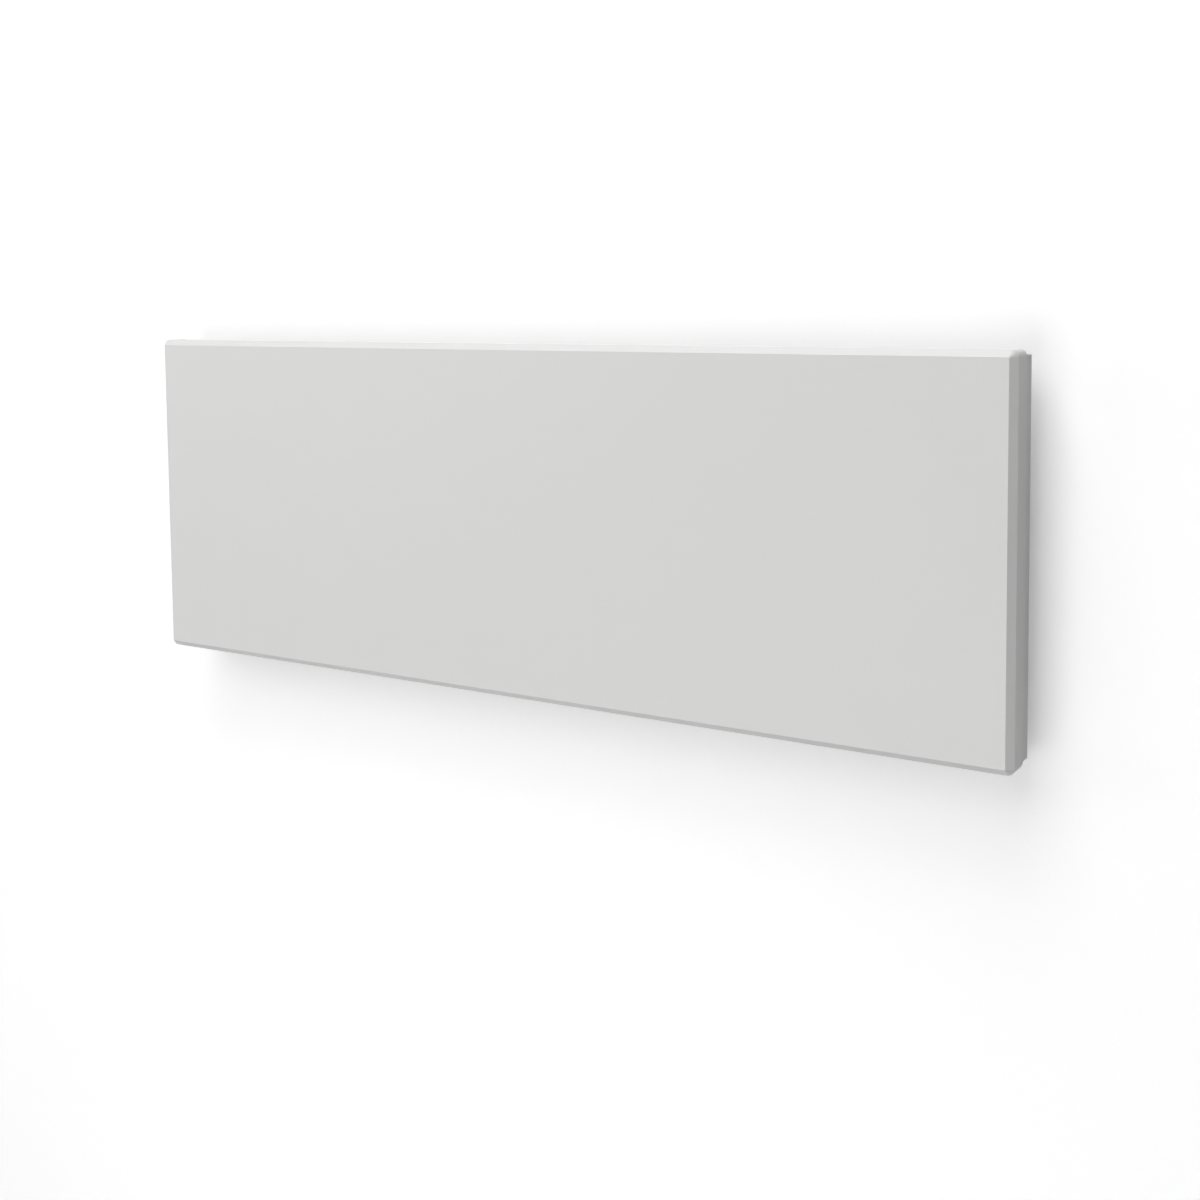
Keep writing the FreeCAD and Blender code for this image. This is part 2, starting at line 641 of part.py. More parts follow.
def make_rear_casing():
    casing = Piece("rear_casing")
    depth = cover_inner - s.casing_front_room - s.wall_gap
    casing.pad("front", s.wall_gap, depth,
               rectangle(-casing_half, casing_half, casing_bottom, deck_level))
    casing.bevel(s.casing_corner, lambda edge: any(
        lies(edge, x=x, z=casing_bottom) for x in (-casing_half, casing_half)))
    casing.round(s.casing_bend, lambda edge: (
        lies(edge, y=-s.wall_gap) and not lies(edge, z=deck_level)))
    casing.shell(s.casing_sheet, lambda face: (
        lies(face, y=-(s.wall_gap + depth)) or lies(face, z=deck_level)))
    for level in (upper_bead_level, lower_bead_level):
        outer = s.bead_width / 2
        inner = outer - s.casing_sheet
        outer_end = s.bead_length / 2
        inner_end = outer_end - s.casing_sheet
        casing.pad("front", s.wall_gap - s.bead_height, s.bead_height,
                   clipped(-outer_end, outer_end, level - outer, level + outer, outer / 2))
        casing.cut("front", casing_inner - s.bead_height, s.bead_height + OVERSHOOT,
                   clipped(-inner_end, inner_end, level - inner, level + inner, inner / 2))
    catch_half = s.catch_width / 2 + s.catch_slot_side
    plate = (s.wall_gap - OVERSHOOT, s.casing_sheet + 2 * OVERSHOOT)
    casing.cut("front", *plate, *(
        rectangle(x - catch_half, x + catch_half,
                  catch_height - s.catch_slot_below, catch_height + s.catch_slot_above)
        for x in rail_places.values()))
    fastenings = (grille_screw_places + housing_screw_places + support_screw_places
                  + shield_rivet_places + ear_rivet_places)
    casing.cut("front", *plate, *(hexagon(x, z, hole_radius) for x, z in fastenings),
               circle(insert_half - s.grommet_place, grommet_height, s.grommet_radius))
    floor = (casing_bottom - OVERSHOOT, s.casing_sheet + 2 * OVERSHOOT)
    casing.cut("up", *floor, *(hexagon(x, -s.cover_screw_place, hole_radius) for x in cover_screw_places))
    rows = [start - s.inlet_row_pitch * number
            for start in (s.inlet_front_row, s.inlet_rear_row) for number in range(2)]
    casing.cut("up", *floor, *(inlet_row(row) for row in rows))
    casing.repeat("X", s.inlet_slot_pitch, inlet_count)
    casing.done()


def make_outlet_grille():
    grille = Piece("outlet_grille")
    low = deck_level - s.grille_flange
    under = deck_level - s.grille_sheet
    grille.pad("right", -insert_half, grille_length, polygon(
        (-casing_inner, low), (-casing_inner, deck_level), (-insert_front, deck_level), (-insert_front, low),
        (s.grille_sheet - insert_front, low), (s.grille_sheet - insert_front, under),
        (-casing_inner - s.grille_sheet, under), (-casing_inner - s.grille_sheet, low)))
    grille.round(s.grille_sheet * 0.9, lambda edge: any(
        lies(edge, y=y, z=deck_level) for y in (-casing_inner, -insert_front)))
    grille.cut("front", casing_inner - OVERSHOOT, s.grille_sheet + 2 * OVERSHOOT,
               *(hexagon(x, z, hole_radius) for x, z in grille_screw_places))
    half = s.outlet_slot_width / 2
    count = ((grille_length - 2 * s.outlet_margin - s.outlet_slot_length) / s.outlet_slot_pitch).floor() + 1
    first = grille_middle - s.outlet_slot_pitch * (count - 1) / 2
    grille.cut("up", under - OVERSHOOT, s.grille_sheet + 2 * OVERSHOOT,
               *(around(first, row - insert_middle, s.outlet_slot_length / 2, half)
                 for row in spread(s.outlet_row_pitch, 3)))
    grille.repeat("X", s.outlet_slot_pitch, count)
    grille.done()


def make_cover_clips():
    """Clips that push up over the cover's lip and the grille's front flange together."""
    front = lip_front + s.clip_clearance
    back = insert_front - s.grille_sheet - s.clip_clearance
    roof = deck_level - s.grille_flange - s.clip_floor_room
    low = roof - s.clip_sheet
    high = low + s.clip_height
    clips = []
    for number, place in enumerate(spread(s.clip_pitch, 3)):
        clip = Piece(f"cover_clip_{number}")
        clip.pad("right", grille_middle + place - s.clip_length / 2, s.clip_length, polygon(
            (-front - s.clip_sheet, low), (s.clip_sheet - back, low), (s.clip_sheet - back, high),
            (-back, high), (-back, roof), (-front, roof), (-front, high), (-front - s.clip_sheet, high)))
        clips.append(clip.body)
    group("cover_clips", clips)


def make_heating_element():
    """An extruded X: four slit wings with beaded tips round a core."""
    element = Piece("heating_element")
    middle = -element_reach
    axis = element_level
    element.pad("right", element_left - stub_length, s.element_length + 2 * stub_length,
                circle(middle, axis, s.core_radius))
    half = s.wing_sheet / 2
    low = axis - s.wing_height
    high = axis + s.wing_height
    for lean in (-1, 1):
        tip = lean * s.wing_depth
        element.pad("right", element_left, s.element_length, polygon(
            (middle - tip - half, low), (middle - tip + half, low),
            (middle + tip + half, high), (middle + tip - half, high)))
    element.pad("right", element_left, s.element_length, *(
        ring(middle + depth, axis + height, s.wing_bead, PIN_SIDES)
        for depth in (-s.wing_depth, s.wing_depth) for height in (-s.wing_height, s.wing_height)))
    count = (s.element_length / s.slit_pitch).floor()
    first = s.element_shift - s.slit_pitch * (count - 1) / 2
    near = s.core_radius + s.slit_root
    far = s.wing_height - s.slit_tip
    sides = (first - s.slit_width / 2, first + s.slit_width / 2)
    element.cut("front", element_reach - s.wing_depth - s.wing_sheet, 2 * (s.wing_depth + s.wing_sheet),
                rectangle(*sides, axis + near, axis + far), rectangle(*sides, axis - far, axis - near))
    element.repeat("X", s.slit_pitch, count)
    element.done()


def make_element_ends():
    """Ceramic bushes on the core's ends, and the terminal pins beyond them."""
    bushes = []
    pins = []
    bore = (s.core_radius + s.bush_clearance) / math.cos(math.pi / ROUND_SIDES)
    for side, flange, body, pin in (
            ("left", element_left - support_offset, element_left - stub_length,
             element_left - stub_length - s.pin_length),
            ("right", element_right + s.bush_gap, element_right + support_offset,
             element_right + stub_length)):
        bush = Piece(f"element_bush_{side}")
        middle = (-element_reach, element_level)
        bush.pad("right", flange, s.bush_flange, ring(*middle, s.bush_flange_radius), ring(*middle, bore))
        bush.pad("right", body, s.bush_length, ring(*middle, s.bush_radius), ring(*middle, bore))
        bushes.append(bush.body)
        pins.append(turned(f"element_pin_{side}", "right", (pin, *middle), (s.pin_radius, s.pin_length),
                           sides=PIN_SIDES))
    group("element_bushes", bushes)
    group("element_terminals", pins)


def make_element_supports():
    for side, way, plate in (("left", -1, element_left - support_offset),
                             ("right", 1, element_right + support_offset)):
        support = Piece(f"element_support_{side}")
        foot = plate + way * (s.support_foot + s.support_sheet)
        skin = plate + way * s.support_sheet
        support.pad("up", element_level - s.support_half, 2 * s.support_half, polygon(
            (plate, -casing_inner), (foot, -casing_inner), (foot, -casing_inner - s.support_sheet),
            (skin, -casing_inner - s.support_sheet), (skin, s.support_sheet - shield_front),
            (foot, s.support_sheet - shield_front), (foot, -shield_front), (plate, -shield_front)))
        support.cut("right", plate - OVERSHOOT - s.support_sheet, 2 * (s.support_sheet + OVERSHOOT),
                    ring(-element_reach, element_level, s.bush_radius + s.bush_clearance))
        place = plate + way * (s.support_foot + s.support_sheet) / 2
        support.cut("front", casing_inner - OVERSHOOT, s.support_sheet + 2 * OVERSHOOT,
                    *(hexagon(place, element_level + z, hole_radius)
                      for z in (-s.support_screw, s.support_screw)))
        support.done()


def make_heat_shields():
    rear = Piece("rear_heat_shield")
    left = element_left - support_offset + s.shield_end
    right = element_right + support_offset - s.shield_end
    outer = casing_inner + s.shield_stand_off
    sheet = s.shield_sheet
    foot = -casing_inner - sheet
    low_step = shield_low + s.shield_foot
    high_step = shield_high - s.shield_foot
    rear.pad("right", left, right - left, polygon(
        (-casing_inner, shield_low), (foot, shield_low), (foot, low_step - sheet),
        (-outer - sheet, low_step - sheet), (-outer - sheet, high_step + sheet),
        (foot, high_step + sheet), (foot, shield_high),
        (-casing_inner, shield_high), (-casing_inner, high_step), (-outer, high_step), (-outer, low_step),
        (-casing_inner, low_step)))
    rear.cut("front", casing_inner - OVERSHOOT, sheet + 2 * OVERSHOOT,
             *(hexagon(x, z, hole_radius) for x, z in shield_rivet_places))
    rear.done()
    front = Piece("front_heat_shield")
    low = element_level - s.front_shield_below
    high = element_level + s.front_shield_above
    end = s.support_sheet + s.support_foot
    edge = s.shield_edge - shield_front
    front.pad("right", element_left - support_offset - end,
              s.element_length + 2 * (support_offset + end), polygon(
                  (edge, low), (-shield_front - sheet, low), (-shield_front - sheet, high), (edge, high),
                  (edge, high - sheet), (-shield_front, high - sheet), (-shield_front, low + sheet),
                  (edge, low + sheet)))
    front.done()


def make_thermal_cutout():
    """A bimetal disc switch: flat base with two ears, round can and two blade terminals."""
    cutout = Piece("thermal_cutout")
    base = casing_inner + s.shield_stand_off + s.shield_sheet
    middle = (s.cutout_place, element_level + s.cutout_rise)
    ear = s.cutout_radius * 2
    half = s.cutout_radius / 2
    plate = s.cutout_height / 9
    cutout.pad("front", base, plate,
               rectangle(middle[0] - ear, middle[0] + ear, middle[1] - half, middle[1] + half))
    cutout.pad("front", base, s.cutout_height, ring(*middle, s.cutout_radius))
    blade = s.cutout_radius / 3
    for way in (-1, 1):
        place = middle[0] + way * s.cutout_radius / 2
        cutout.pad("front", base + s.cutout_height, s.cutout_height * 0.8,
                   rectangle(place - plate / 2, place + plate / 2, middle[1] - blade, middle[1] + blade))
    cutout.done()


def make_sensor():
    place = insert_half - s.sensor_place
    reach = casing_inner + s.sensor_stand_off
    half = s.holder_width / 2
    rest = sensor_foot + (s.sensor_length - s.holder_height) / 2
    clip = Piece("sensor_clip")
    clip.pad("up", rest, s.holder_height,
             rectangle(place - half, place + half, -reach - half, -casing_inner),
             ring(place, -reach, s.sensor_radius + s.running_fit))
    clip.done()
    keep("air_sensor", turned("air_sensor", "up", (place, -reach, sensor_foot),
                              (s.sensor_radius, s.sensor_length), sides=ROUND_SIDES))


def make_terminal_block():
    block = Piece("terminal_block")
    middle = insert_half - s.block_place
    centre = block_foot + s.block_height / 2
    block.pad("front", casing_inner, s.block_depth,
              around(middle, centre, s.block_length / 2, s.block_height / 2))
    block.cut("front", casing_inner + s.block_depth / 2, s.block_depth,
              *(around(middle + x, centre, s.block_well, s.block_well) for x in spread(s.block_pitch, 3)))
    block.done()


def make_earth_stud():
    """A welded stud with its washer and nut."""
    place = (insert_half - s.earth_place, -casing_inner, earth_height)
    keep("earth_stud", turned("earth_stud", "front", place, (s.head_radius * 1.5, s.tail_height),
                              (s.head_radius * 1.1, s.head_height * 2), (s.screw_radius, s.screw_tip),
                              sides=HEXAGON))


def make_cord_grommet():
    """A rubber grommet whose membrane is still closed."""
    place = (insert_half - s.grommet_place, s.grommet_brim - s.wall_gap, grommet_height)
    keep("cord_grommet", turned("cord_grommet", "front", place,
                                (s.grommet_radius + s.grommet_brim, s.grommet_brim),
                                (s.grommet_radius - s.screw_play, s.casing_sheet),
                                (s.grommet_radius + s.grommet_brim, s.grommet_brim), sides=ROUND_SIDES))


def tube(points, radius, bend):
    """A lead: straight runs joined by tangent arcs."""
    points = [FreeCAD.Vector(*(float(value) for value in point)) for point in points]
    edges = []
    start = points[0]
    for before, corner, after in zip(points, points[1:], points[2:]):
        arriving = (corner - before).normalize()
        leaving = (after - corner).normalize()
        turn = arriving.getAngle(leaving)
        tangent = bend * math.tan(turn / 2)
        inward = (leaving - arriving).normalize()
        first = corner - arriving * tangent
        last = corner + leaving * tangent
        crown = corner + inward * (bend / math.cos(turn / 2) - bend)
        edges.append(Part.LineSegment(start, first).toShape())
        edges.append(Part.Arc(first, crown, last).toShape())
        start = last
    edges.append(Part.LineSegment(start, points[-1]).toShape())
    path = Part.Wire(edges)
    turn = FreeCAD.Rotation(FreeCAD.Vector(0, 0, 1), points[1] - points[0])
    step = 2 * math.pi / LEAD_SIDES
    corners = [FreeCAD.Vector(radius * math.cos(step * number), radius * math.sin(step * number), 0)
               for number in range(LEAD_SIDES + 1)]
    section = Part.makePolygon([points[0] + turn.multVec(corner) for corner in corners])
    solid = path.makePipeShell([section], True, False)
    expected = LEAD_SIDES / 2 * radius ** 2 * math.sin(step) * path.Length
    if abs(solid.Volume - expected) > 0.02 * expected:
        raise RuntimeError("a lead's volume doesn't match its length")
    return solid


def make_lead(label, *routes):
    lead = doc.addObject("Part::Feature", label)
    tubes = [tube(route, float(s.lead_radius), float(s.lead_bend)) for route in routes]
    lead.Shape = tubes[0] if len(tubes) == 1 else Part.makeCompound(tubes)
    lead.Placement = FreeCAD.Placement()
    keep(label, lead)


def make_leads():
    right_end = element_right + stub_length + s.pin_length
    left_end = element_left - stub_length - s.pin_length
    level = element_level
    reach = -casing_inner - s.lead_stand_off
    live = insert_half - s.live_place
    make_lead("live_lead", [(right_end, -element_reach, level), (live, -element_reach, level),
                            (live, -element_reach, housing_bottom)])
    far_left = left_end - s.lead_turn
    neutral = insert_half - s.neutral_place
    make_lead("neutral_lead", [(left_end, -element_reach, level), (far_left, -element_reach, level),
                               (far_left, reach, level - 2 * s.lead_turn), (far_left, reach, lead_height),
                               (neutral, reach, lead_height), (neutral, reach, housing_bottom)])
    block = insert_half - s.block_place
    top = block_foot + s.block_height
    middle = -casing_inner - s.block_depth / 2
    make_lead("supply_leads", *([(block + x, middle, top), (block + x, middle, housing_bottom)]
                                for x in (-s.block_pitch, s.block_pitch)))
    sensor = insert_half - s.sensor_place
    depth = -casing_inner - s.sensor_stand_off
    top = sensor_foot + s.sensor_length
    make_lead("sensor_lead", [(sensor, depth, top), (sensor, depth, housing_bottom)])


def make_lead_clips():
    """Saddles on the back plate round the lead that runs along the bottom."""
    reach = casing_inner + s.lead_stand_off
    half = s.lead_clip_width / 2
    room = s.lead_radius + s.running_fit
    clips = []
    for number, place in enumerate(spread(s.lead_clip_pitch, 3)):
        clip = Piece(f"lead_clip_{number}")
        clip.pad("right", place - s.lead_clip_length / 2, s.lead_clip_length,
                 rectangle(-reach - half, -casing_inner, lead_height - half, lead_height + half),
                 around(-reach, lead_height, room, room))
        clips.append(clip.body)
    group("lead_clips", clips)


def control_outline():
    return rectangle(control_left, insert_half, -insert_front, -casing_inner)


def is_control_corner(edge):
    return any(lies(edge, x=x, y=y)
               for x in (control_left, insert_half) for y in (-insert_front, -casing_inner))


rocker_place = insert_half - s.bezel_margin
button_places = [rocker_place - s.button_start - s.button_pitch * number for number in (3, 2, 1, 0)]
well_half_length = s.rocker_length / 2 + s.rocker_end_room
well_half_width = s.rocker_width / 2 + s.rocker_clearance
window_left = control_left + s.window_margin
window_right = window_left + s.window_length
window_middle = (window_left + window_right) / 2


def key(place, room):
    """A push button's outline, or its hole's with some room round it."""
    return around(place, -insert_middle, s.button_half + room, s.button_reach + room)


def board_sides():
    """Left, right, front and back of the board, which ends beside the rocker's switch body."""
    room = s.housing_wall + s.board_clearance
    right = rocker_place - well_half_length - s.bezel_wall - s.board_clearance
    return control_left + room, right, room - insert_front, -casing_inner - room


def make_control_housing():
    housing = Piece("control_housing")
    housing.pad("up", housing_bottom, s.housing_height, control_outline())
    housing.bevel(s.housing_corner, is_control_corner)
    housing.shell(s.housing_wall, lambda face: lies(face, z=deck_bottom))
    left, right, front, back = board_sides()
    inset = s.boss_inset
    floor = housing_bottom + s.housing_wall
    housing.pad("up", floor, board_top - s.board_sheet - floor, *(
        around(x, y, s.boss_half, s.boss_half)
        for x in (left + inset, right - inset) for y in (front + inset, back - inset)))
    housing.cut("front", casing_inner - OVERSHOOT, s.housing_wall + 2 * OVERSHOOT,
                *(hexagon(x, z, hole_radius) for x, z in housing_screw_places))
    housing.done()


def make_control_deck():
    deck = Piece("control_deck")
    deck.pad("up", deck_bottom, s.deck_thickness, control_outline())
    deck.round(s.housing_corner, is_control_corner)
    half = s.window_width / 2
    seat = deck_level - s.window_thickness
    deck.cut("up", seat, s.window_thickness + OVERSHOOT,
             around(window_middle, -insert_middle, s.window_length / 2, half))
    corners = [(x, y) for x in (window_left, window_right)
               for y in (-insert_middle - half, half - insert_middle)]
    deck.round(s.window_corner, lambda edge: any(lies(edge, x=x, y=y) for x, y in corners))
    deck.cut("up", deck_bottom - OVERSHOOT, s.deck_thickness + 2 * OVERSHOOT,
             around(window_middle, -insert_middle,
                    s.window_length / 2 - s.window_ledge, half - s.window_ledge))
    deck.cut("up", deck_bottom - OVERSHOOT, s.deck_thickness + 2 * OVERSHOOT,
             *(key(place, s.button_clearance) for place in button_places))
    length = well_half_length + s.bezel_wall + s.screw_play
    width = well_half_width + s.bezel_wall + s.screw_play
    deck.cut("up", deck_bottom - OVERSHOOT, s.deck_thickness + 2 * OVERSHOOT,
             around(rocker_place, -insert_middle, length, width))
    deck.done()


def make_display():
    room = s.window_clearance
    half = s.window_width / 2 - room
    reach = s.window_length / 2 - room
    window = Piece("display_window")
    window.pad("up", deck_level - s.window_thickness, s.window_thickness,
               around(window_middle, -insert_middle, reach, half))
    corners = [(x, y) for x in (window_left + room, window_right - room)
               for y in (-insert_middle - half, half - insert_middle)]
    window.round(s.window_corner - room, lambda edge: any(lies(edge, x=x, y=y) for x, y in corners))
    window.done()
    module = Piece("display_module")
    inset = s.window_ledge + s.insert_clearance
    module.pad("up", board_top, s.board_drop - s.insert_clearance,
               around(window_middle, -insert_middle, reach - inset, half - inset))
    module.done()


def make_board():
    board = Piece("circuit_board")
    board.pad("up", board_top - s.board_sheet, s.board_sheet, rectangle(*board_sides()))
    board.done()
    left = board_sides()[0]
    under = board_top - s.board_sheet
    relay = Piece("relay")
    relay.pad("up", under - s.board_drop, s.board_drop,
              rectangle(left + 3 * s.boss_inset, left + 7 * s.boss_inset,
                        -insert_middle - s.boss_inset, s.boss_inset - insert_middle))
    relay.done()
    keep("filter_choke", turned("filter_choke", "up",
                                (left + 10 * s.boss_inset, -insert_middle, under - s.board_drop),
                                (s.boss_inset, s.board_drop), sides=ROUND_SIDES))
    switches = []
    half = s.tact_width / 2
    top = deck_bottom - s.button_clearance - s.button_flange - s.button_travel - s.tact_clearance
    for number, place in enumerate(button_places):
        switch = Piece(f"tact_switch_{number}")
        switch.pad("up", board_top, top - board_top - s.button_travel,
                   around(place, -insert_middle, half, half))
        switch.pad("up", top - s.button_travel, s.button_travel,
                   around(place, -insert_middle, half / 2, half / 2))
        switches.append(switch.body)
    group("tact_switches", switches)


def make_buttons():
    for label, place in zip(("power_button", "minus_button", "plus_button", "mode_button"), button_places):
        button = Piece(label)
        stop = deck_bottom - s.button_clearance
        button.pad("up", stop - s.button_flange, s.button_flange, key(place, s.button_flange))
        button.pad("up", stop, deck_level + s.button_proud - stop, key(place, as_size(0)))
        button.bevel(s.button_bevel, lambda edge: lies(edge, z=deck_level + s.button_proud))
        button.done()


def make_rocker():
    bezel = Piece("rocker_bezel")
    length = well_half_length + s.bezel_wall
    width = well_half_width + s.bezel_wall
    middle = -insert_middle
    bezel.pad("up", deck_bottom - s.bezel_depth, s.bezel_depth + s.deck_thickness,
              around(rocker_place, middle, length, width))
    bezel.pad("up", deck_level, s.bezel_rise,
              around(rocker_place, middle, length + s.bezel_brim, width + s.bezel_brim))
    bezel.bevel(s.bezel_rise / 2, lambda edge: lies(edge, z=deck_level + s.bezel_rise))
    bezel.cut("up", deck_level - s.well_depth, s.well_depth + s.bezel_rise + OVERSHOOT,
              around(rocker_place, middle, well_half_length, well_half_width))
    axis = deck_level + s.rocker_axis_rise - s.rocker_root / 2
    trunnion_half = well_half_width + s.trunnion_length + s.screw_play
    bezel.cut("front", insert_middle - trunnion_half, 2 * trunnion_half,
              circle(rocker_place, axis, s.trunnion_radius + s.running_fit))
    bezel.done()

    # The rocker is drawn level about its own axis and then leaned to its off side.
    rocker = Piece("rocker")
    half = s.rocker_length / 2
    rise = s.rocker_rise + s.rocker_root / 2
    dip = s.rocker_dip + s.rocker_root / 2
    root = -s.rocker_root
    rocker.pad("front", -(s.rocker_width / 2), s.rocker_width, polygon(
        (-half, rise), (-half, dip / 2), (half * -0.6, root), (half * 0.6, root), (half, dip / 2),
        (half, rise), (as_size(0), dip)))
    trunnion = well_half_width + s.trunnion_length
    rocker.pad("front", -trunnion, 2 * trunnion, circle(as_size(0), as_size(0), s.trunnion_radius))
    rocker.body.Placement.Rotation = FreeCAD.Rotation(FreeCAD.Vector(0, 1, 0), float(s.rocker_tilt))
    bind(rocker.body, "Placement.Rotation.Angle", s.rocker_tilt)
    bind_place(rocker.body, (rocker_place, middle, axis))
    rocker.done()


def make_bracket_rails():
    """Folded channels on the wall: stop arms at the top, open hooks at the foot."""
    for side, place in rail_places.items():
        rail = Piece(f"bracket_rail_{side}")
        half = s.rail_width / 2
        rail.pad("right", place - half, s.rail_width, polygon(
            (as_size(0), rail_low), (as_size(0), rail_high), (-s.rail_depth, rail_high),
            (-s.rail_depth, arm_head), (-s.arm_reach, arm_head), (-s.arm_reach, arm_foot),
            (-s.rail_depth, arm_foot), (-s.rail_depth, pivot_height + s.hook_rise),
            (-s.hook_reach, pivot_height + s.hook_rise), (-s.hook_reach, rail_low)))
        rail.bevel(s.hook_bevel, lambda edge: lies(edge, y=-s.hook_reach, z=rail_low))
        rail.cut("front", s.rail_sheet, s.arm_reach + s.hook_reach,
                 rectangle(place - half + s.rail_sheet, place + half - s.rail_sheet,
                           rail_low - OVERSHOOT, rail_high + OVERSHOOT))
        groove = s.pivot_radius + s.running_fit
        mouth = pivot_height + s.hook_rise + groove + OVERSHOOT
        rail.cut("right", place - half - OVERSHOOT, s.rail_width + 2 * OVERSHOOT,
                 slot((-s.pivot_reach, pivot_height), (-s.pivot_reach, mouth), groove))
        rail.cut("front", -s.rail_sheet, 3 * s.rail_sheet,
                 *(circle(place, z, s.screw_hole) for z in (-(s.screw_spacing / 2), s.screw_spacing / 2)))
        rail.cut("front", -s.rail_sheet, 3 * s.rail_sheet,
                 hexagon(place, catch_height + s.catch_rivet, hole_radius))
        rail.cut("right", place - half - OVERSHOOT, s.rail_width + 2 * OVERSHOOT,
                 *(hexagon(-s.bar_rivet, z, hole_radius) for z in (-s.bar_level, s.bar_level)))
        rail.done()


def make_cross_bars():
    end = s.bracket_spacing / 2 - s.rail_width / 2
    sheet = s.rail_sheet
    for label, level in (("upper_bar", s.bar_level), ("lower_bar", -s.bar_level)):
        bar = Piece(label)
        low = level - s.bar_height / 2
        high = level + s.bar_height / 2
        bar.pad("right", -end, 2 * end, polygon(
            (as_size(0), low), (as_size(0), high), (-s.bar_flange, high), (-s.bar_flange, high - sheet),
            (-sheet, high - sheet), (-sheet, low + sheet), (-s.bar_flange, low + sheet),
            (-s.bar_flange, low)))
        for start in (-end, end - sheet):
            bar.pad("right", start, sheet, rectangle(-s.bar_flange, as_size(0), low, high))
        bar.cut("right", -end - OVERSHOOT, 2 * (end + OVERSHOOT), hexagon(-s.bar_rivet, level, hole_radius))
        bar.done()


def make_catches():
    for side, place in rail_places.items():
        catch = Piece(f"catch_{side}")
        level = catch_height
        strip = s.catch_sheet
        foot = s.rail_sheet
        inner_peak = level + s.catch_barb - 2 * strip
        catch.pad("right", place - s.catch_width / 2, s.catch_width, polygon(
            (-foot, level + s.catch_foot), (-foot, level), (-catch_nose - strip, level),
            (-catch_nose - strip, inner_peak), (-catch_nose - s.catch_ramp, level - strip),
            (-catch_nose - s.catch_ramp, level), (-catch_nose, level + s.catch_barb),
            (-catch_nose, level + strip), (-foot - strip, level + strip),
            (-foot - strip, level + s.catch_foot)))
        catch.cut("front", foot - OVERSHOOT, strip + 2 * OVERSHOOT,
                  hexagon(place, level + s.catch_rivet, hole_radius))
        catch.done()


def make_buffers():
    for side, place in rail_places.items():
        buffer = Piece(f"buffer_{side}")
        half = s.rail_width / 2
        face = s.wall_gap - s.buffer_clearance
        buffer.pad("front", s.arm_reach, face - s.arm_reach,
                   rectangle(place - half, place + half, arm_foot, arm_head))
        buffer.bevel(s.buffer_bevel, lambda edge: lies(edge, y=-face))
        buffer.done()


def make_pivot_ears():
    """Folded ears on the back plate, one each side of a rail, joined by a base."""
    pins = []
    for side, place in rail_places.items():
        ears = Piece(f"pivot_ears_{side}")
        inner = s.rail_width / 2 + s.ear_clearance
        outer = inner + s.ear_sheet
        low = pivot_height - s.ear_half
        high = pivot_height + s.ear_half
        end = s.ear_half - s.pivot_reach
        ears.pad("front", s.wall_gap - s.ear_sheet, s.ear_sheet,
                 around(place, pivot_height, outer, s.ear_base))
        for start in (place - outer, place + inner):
            ears.pad("right", start, s.ear_sheet, rectangle(s.ear_sheet / 2 - s.wall_gap, end, low, high))
        ears.bevel(s.ear_bevel, lambda edge: any(
            lies(edge, y=end, z=z) for z in (low, high)))
        ears.cut("right", place - outer - OVERSHOOT, 2 * (outer + OVERSHOOT),
                 circle(-s.pivot_reach, pivot_height, s.pivot_radius + s.running_fit))
        ears.cut("front", s.wall_gap - s.ear_sheet - OVERSHOOT, s.ear_sheet + 2 * OVERSHOOT,
                 *(hexagon(place, pivot_height + z, hole_radius) for z in (-s.ear_rivet, s.ear_rivet)))
        ears.done()
        reach = outer + s.pivot_overhang
        pins.append(turned(f"pivot_pin_{side}", "right", (place - reach, -s.pivot_reach, pivot_height),
                           (s.pivot_radius, 2 * reach)))
    group("pivot_pins", pins)


def screws_from_behind(label, places, head_back, grip):
    """Screws through the back plate: head behind it, tip inside."""
    group(label, [
        turned(f"{label}_{number}", "front", (x, s.head_height - head_back, z),
               (s.head_radius, s.head_height), (s.screw_radius, grip + s.screw_tip), sides=HEXAGON)
        for number, (x, z) in enumerate(places)])


def rivets(label, way, places, grip):
    """Rivets: head, shank through both sheets, closed end."""
    group(label, [
        turned(f"{label}_{number}", way, place, (s.head_radius, s.head_height),
               (s.screw_radius, grip), (s.head_radius, s.tail_height), sides=HEXAGON)
        for number, place in enumerate(places)])


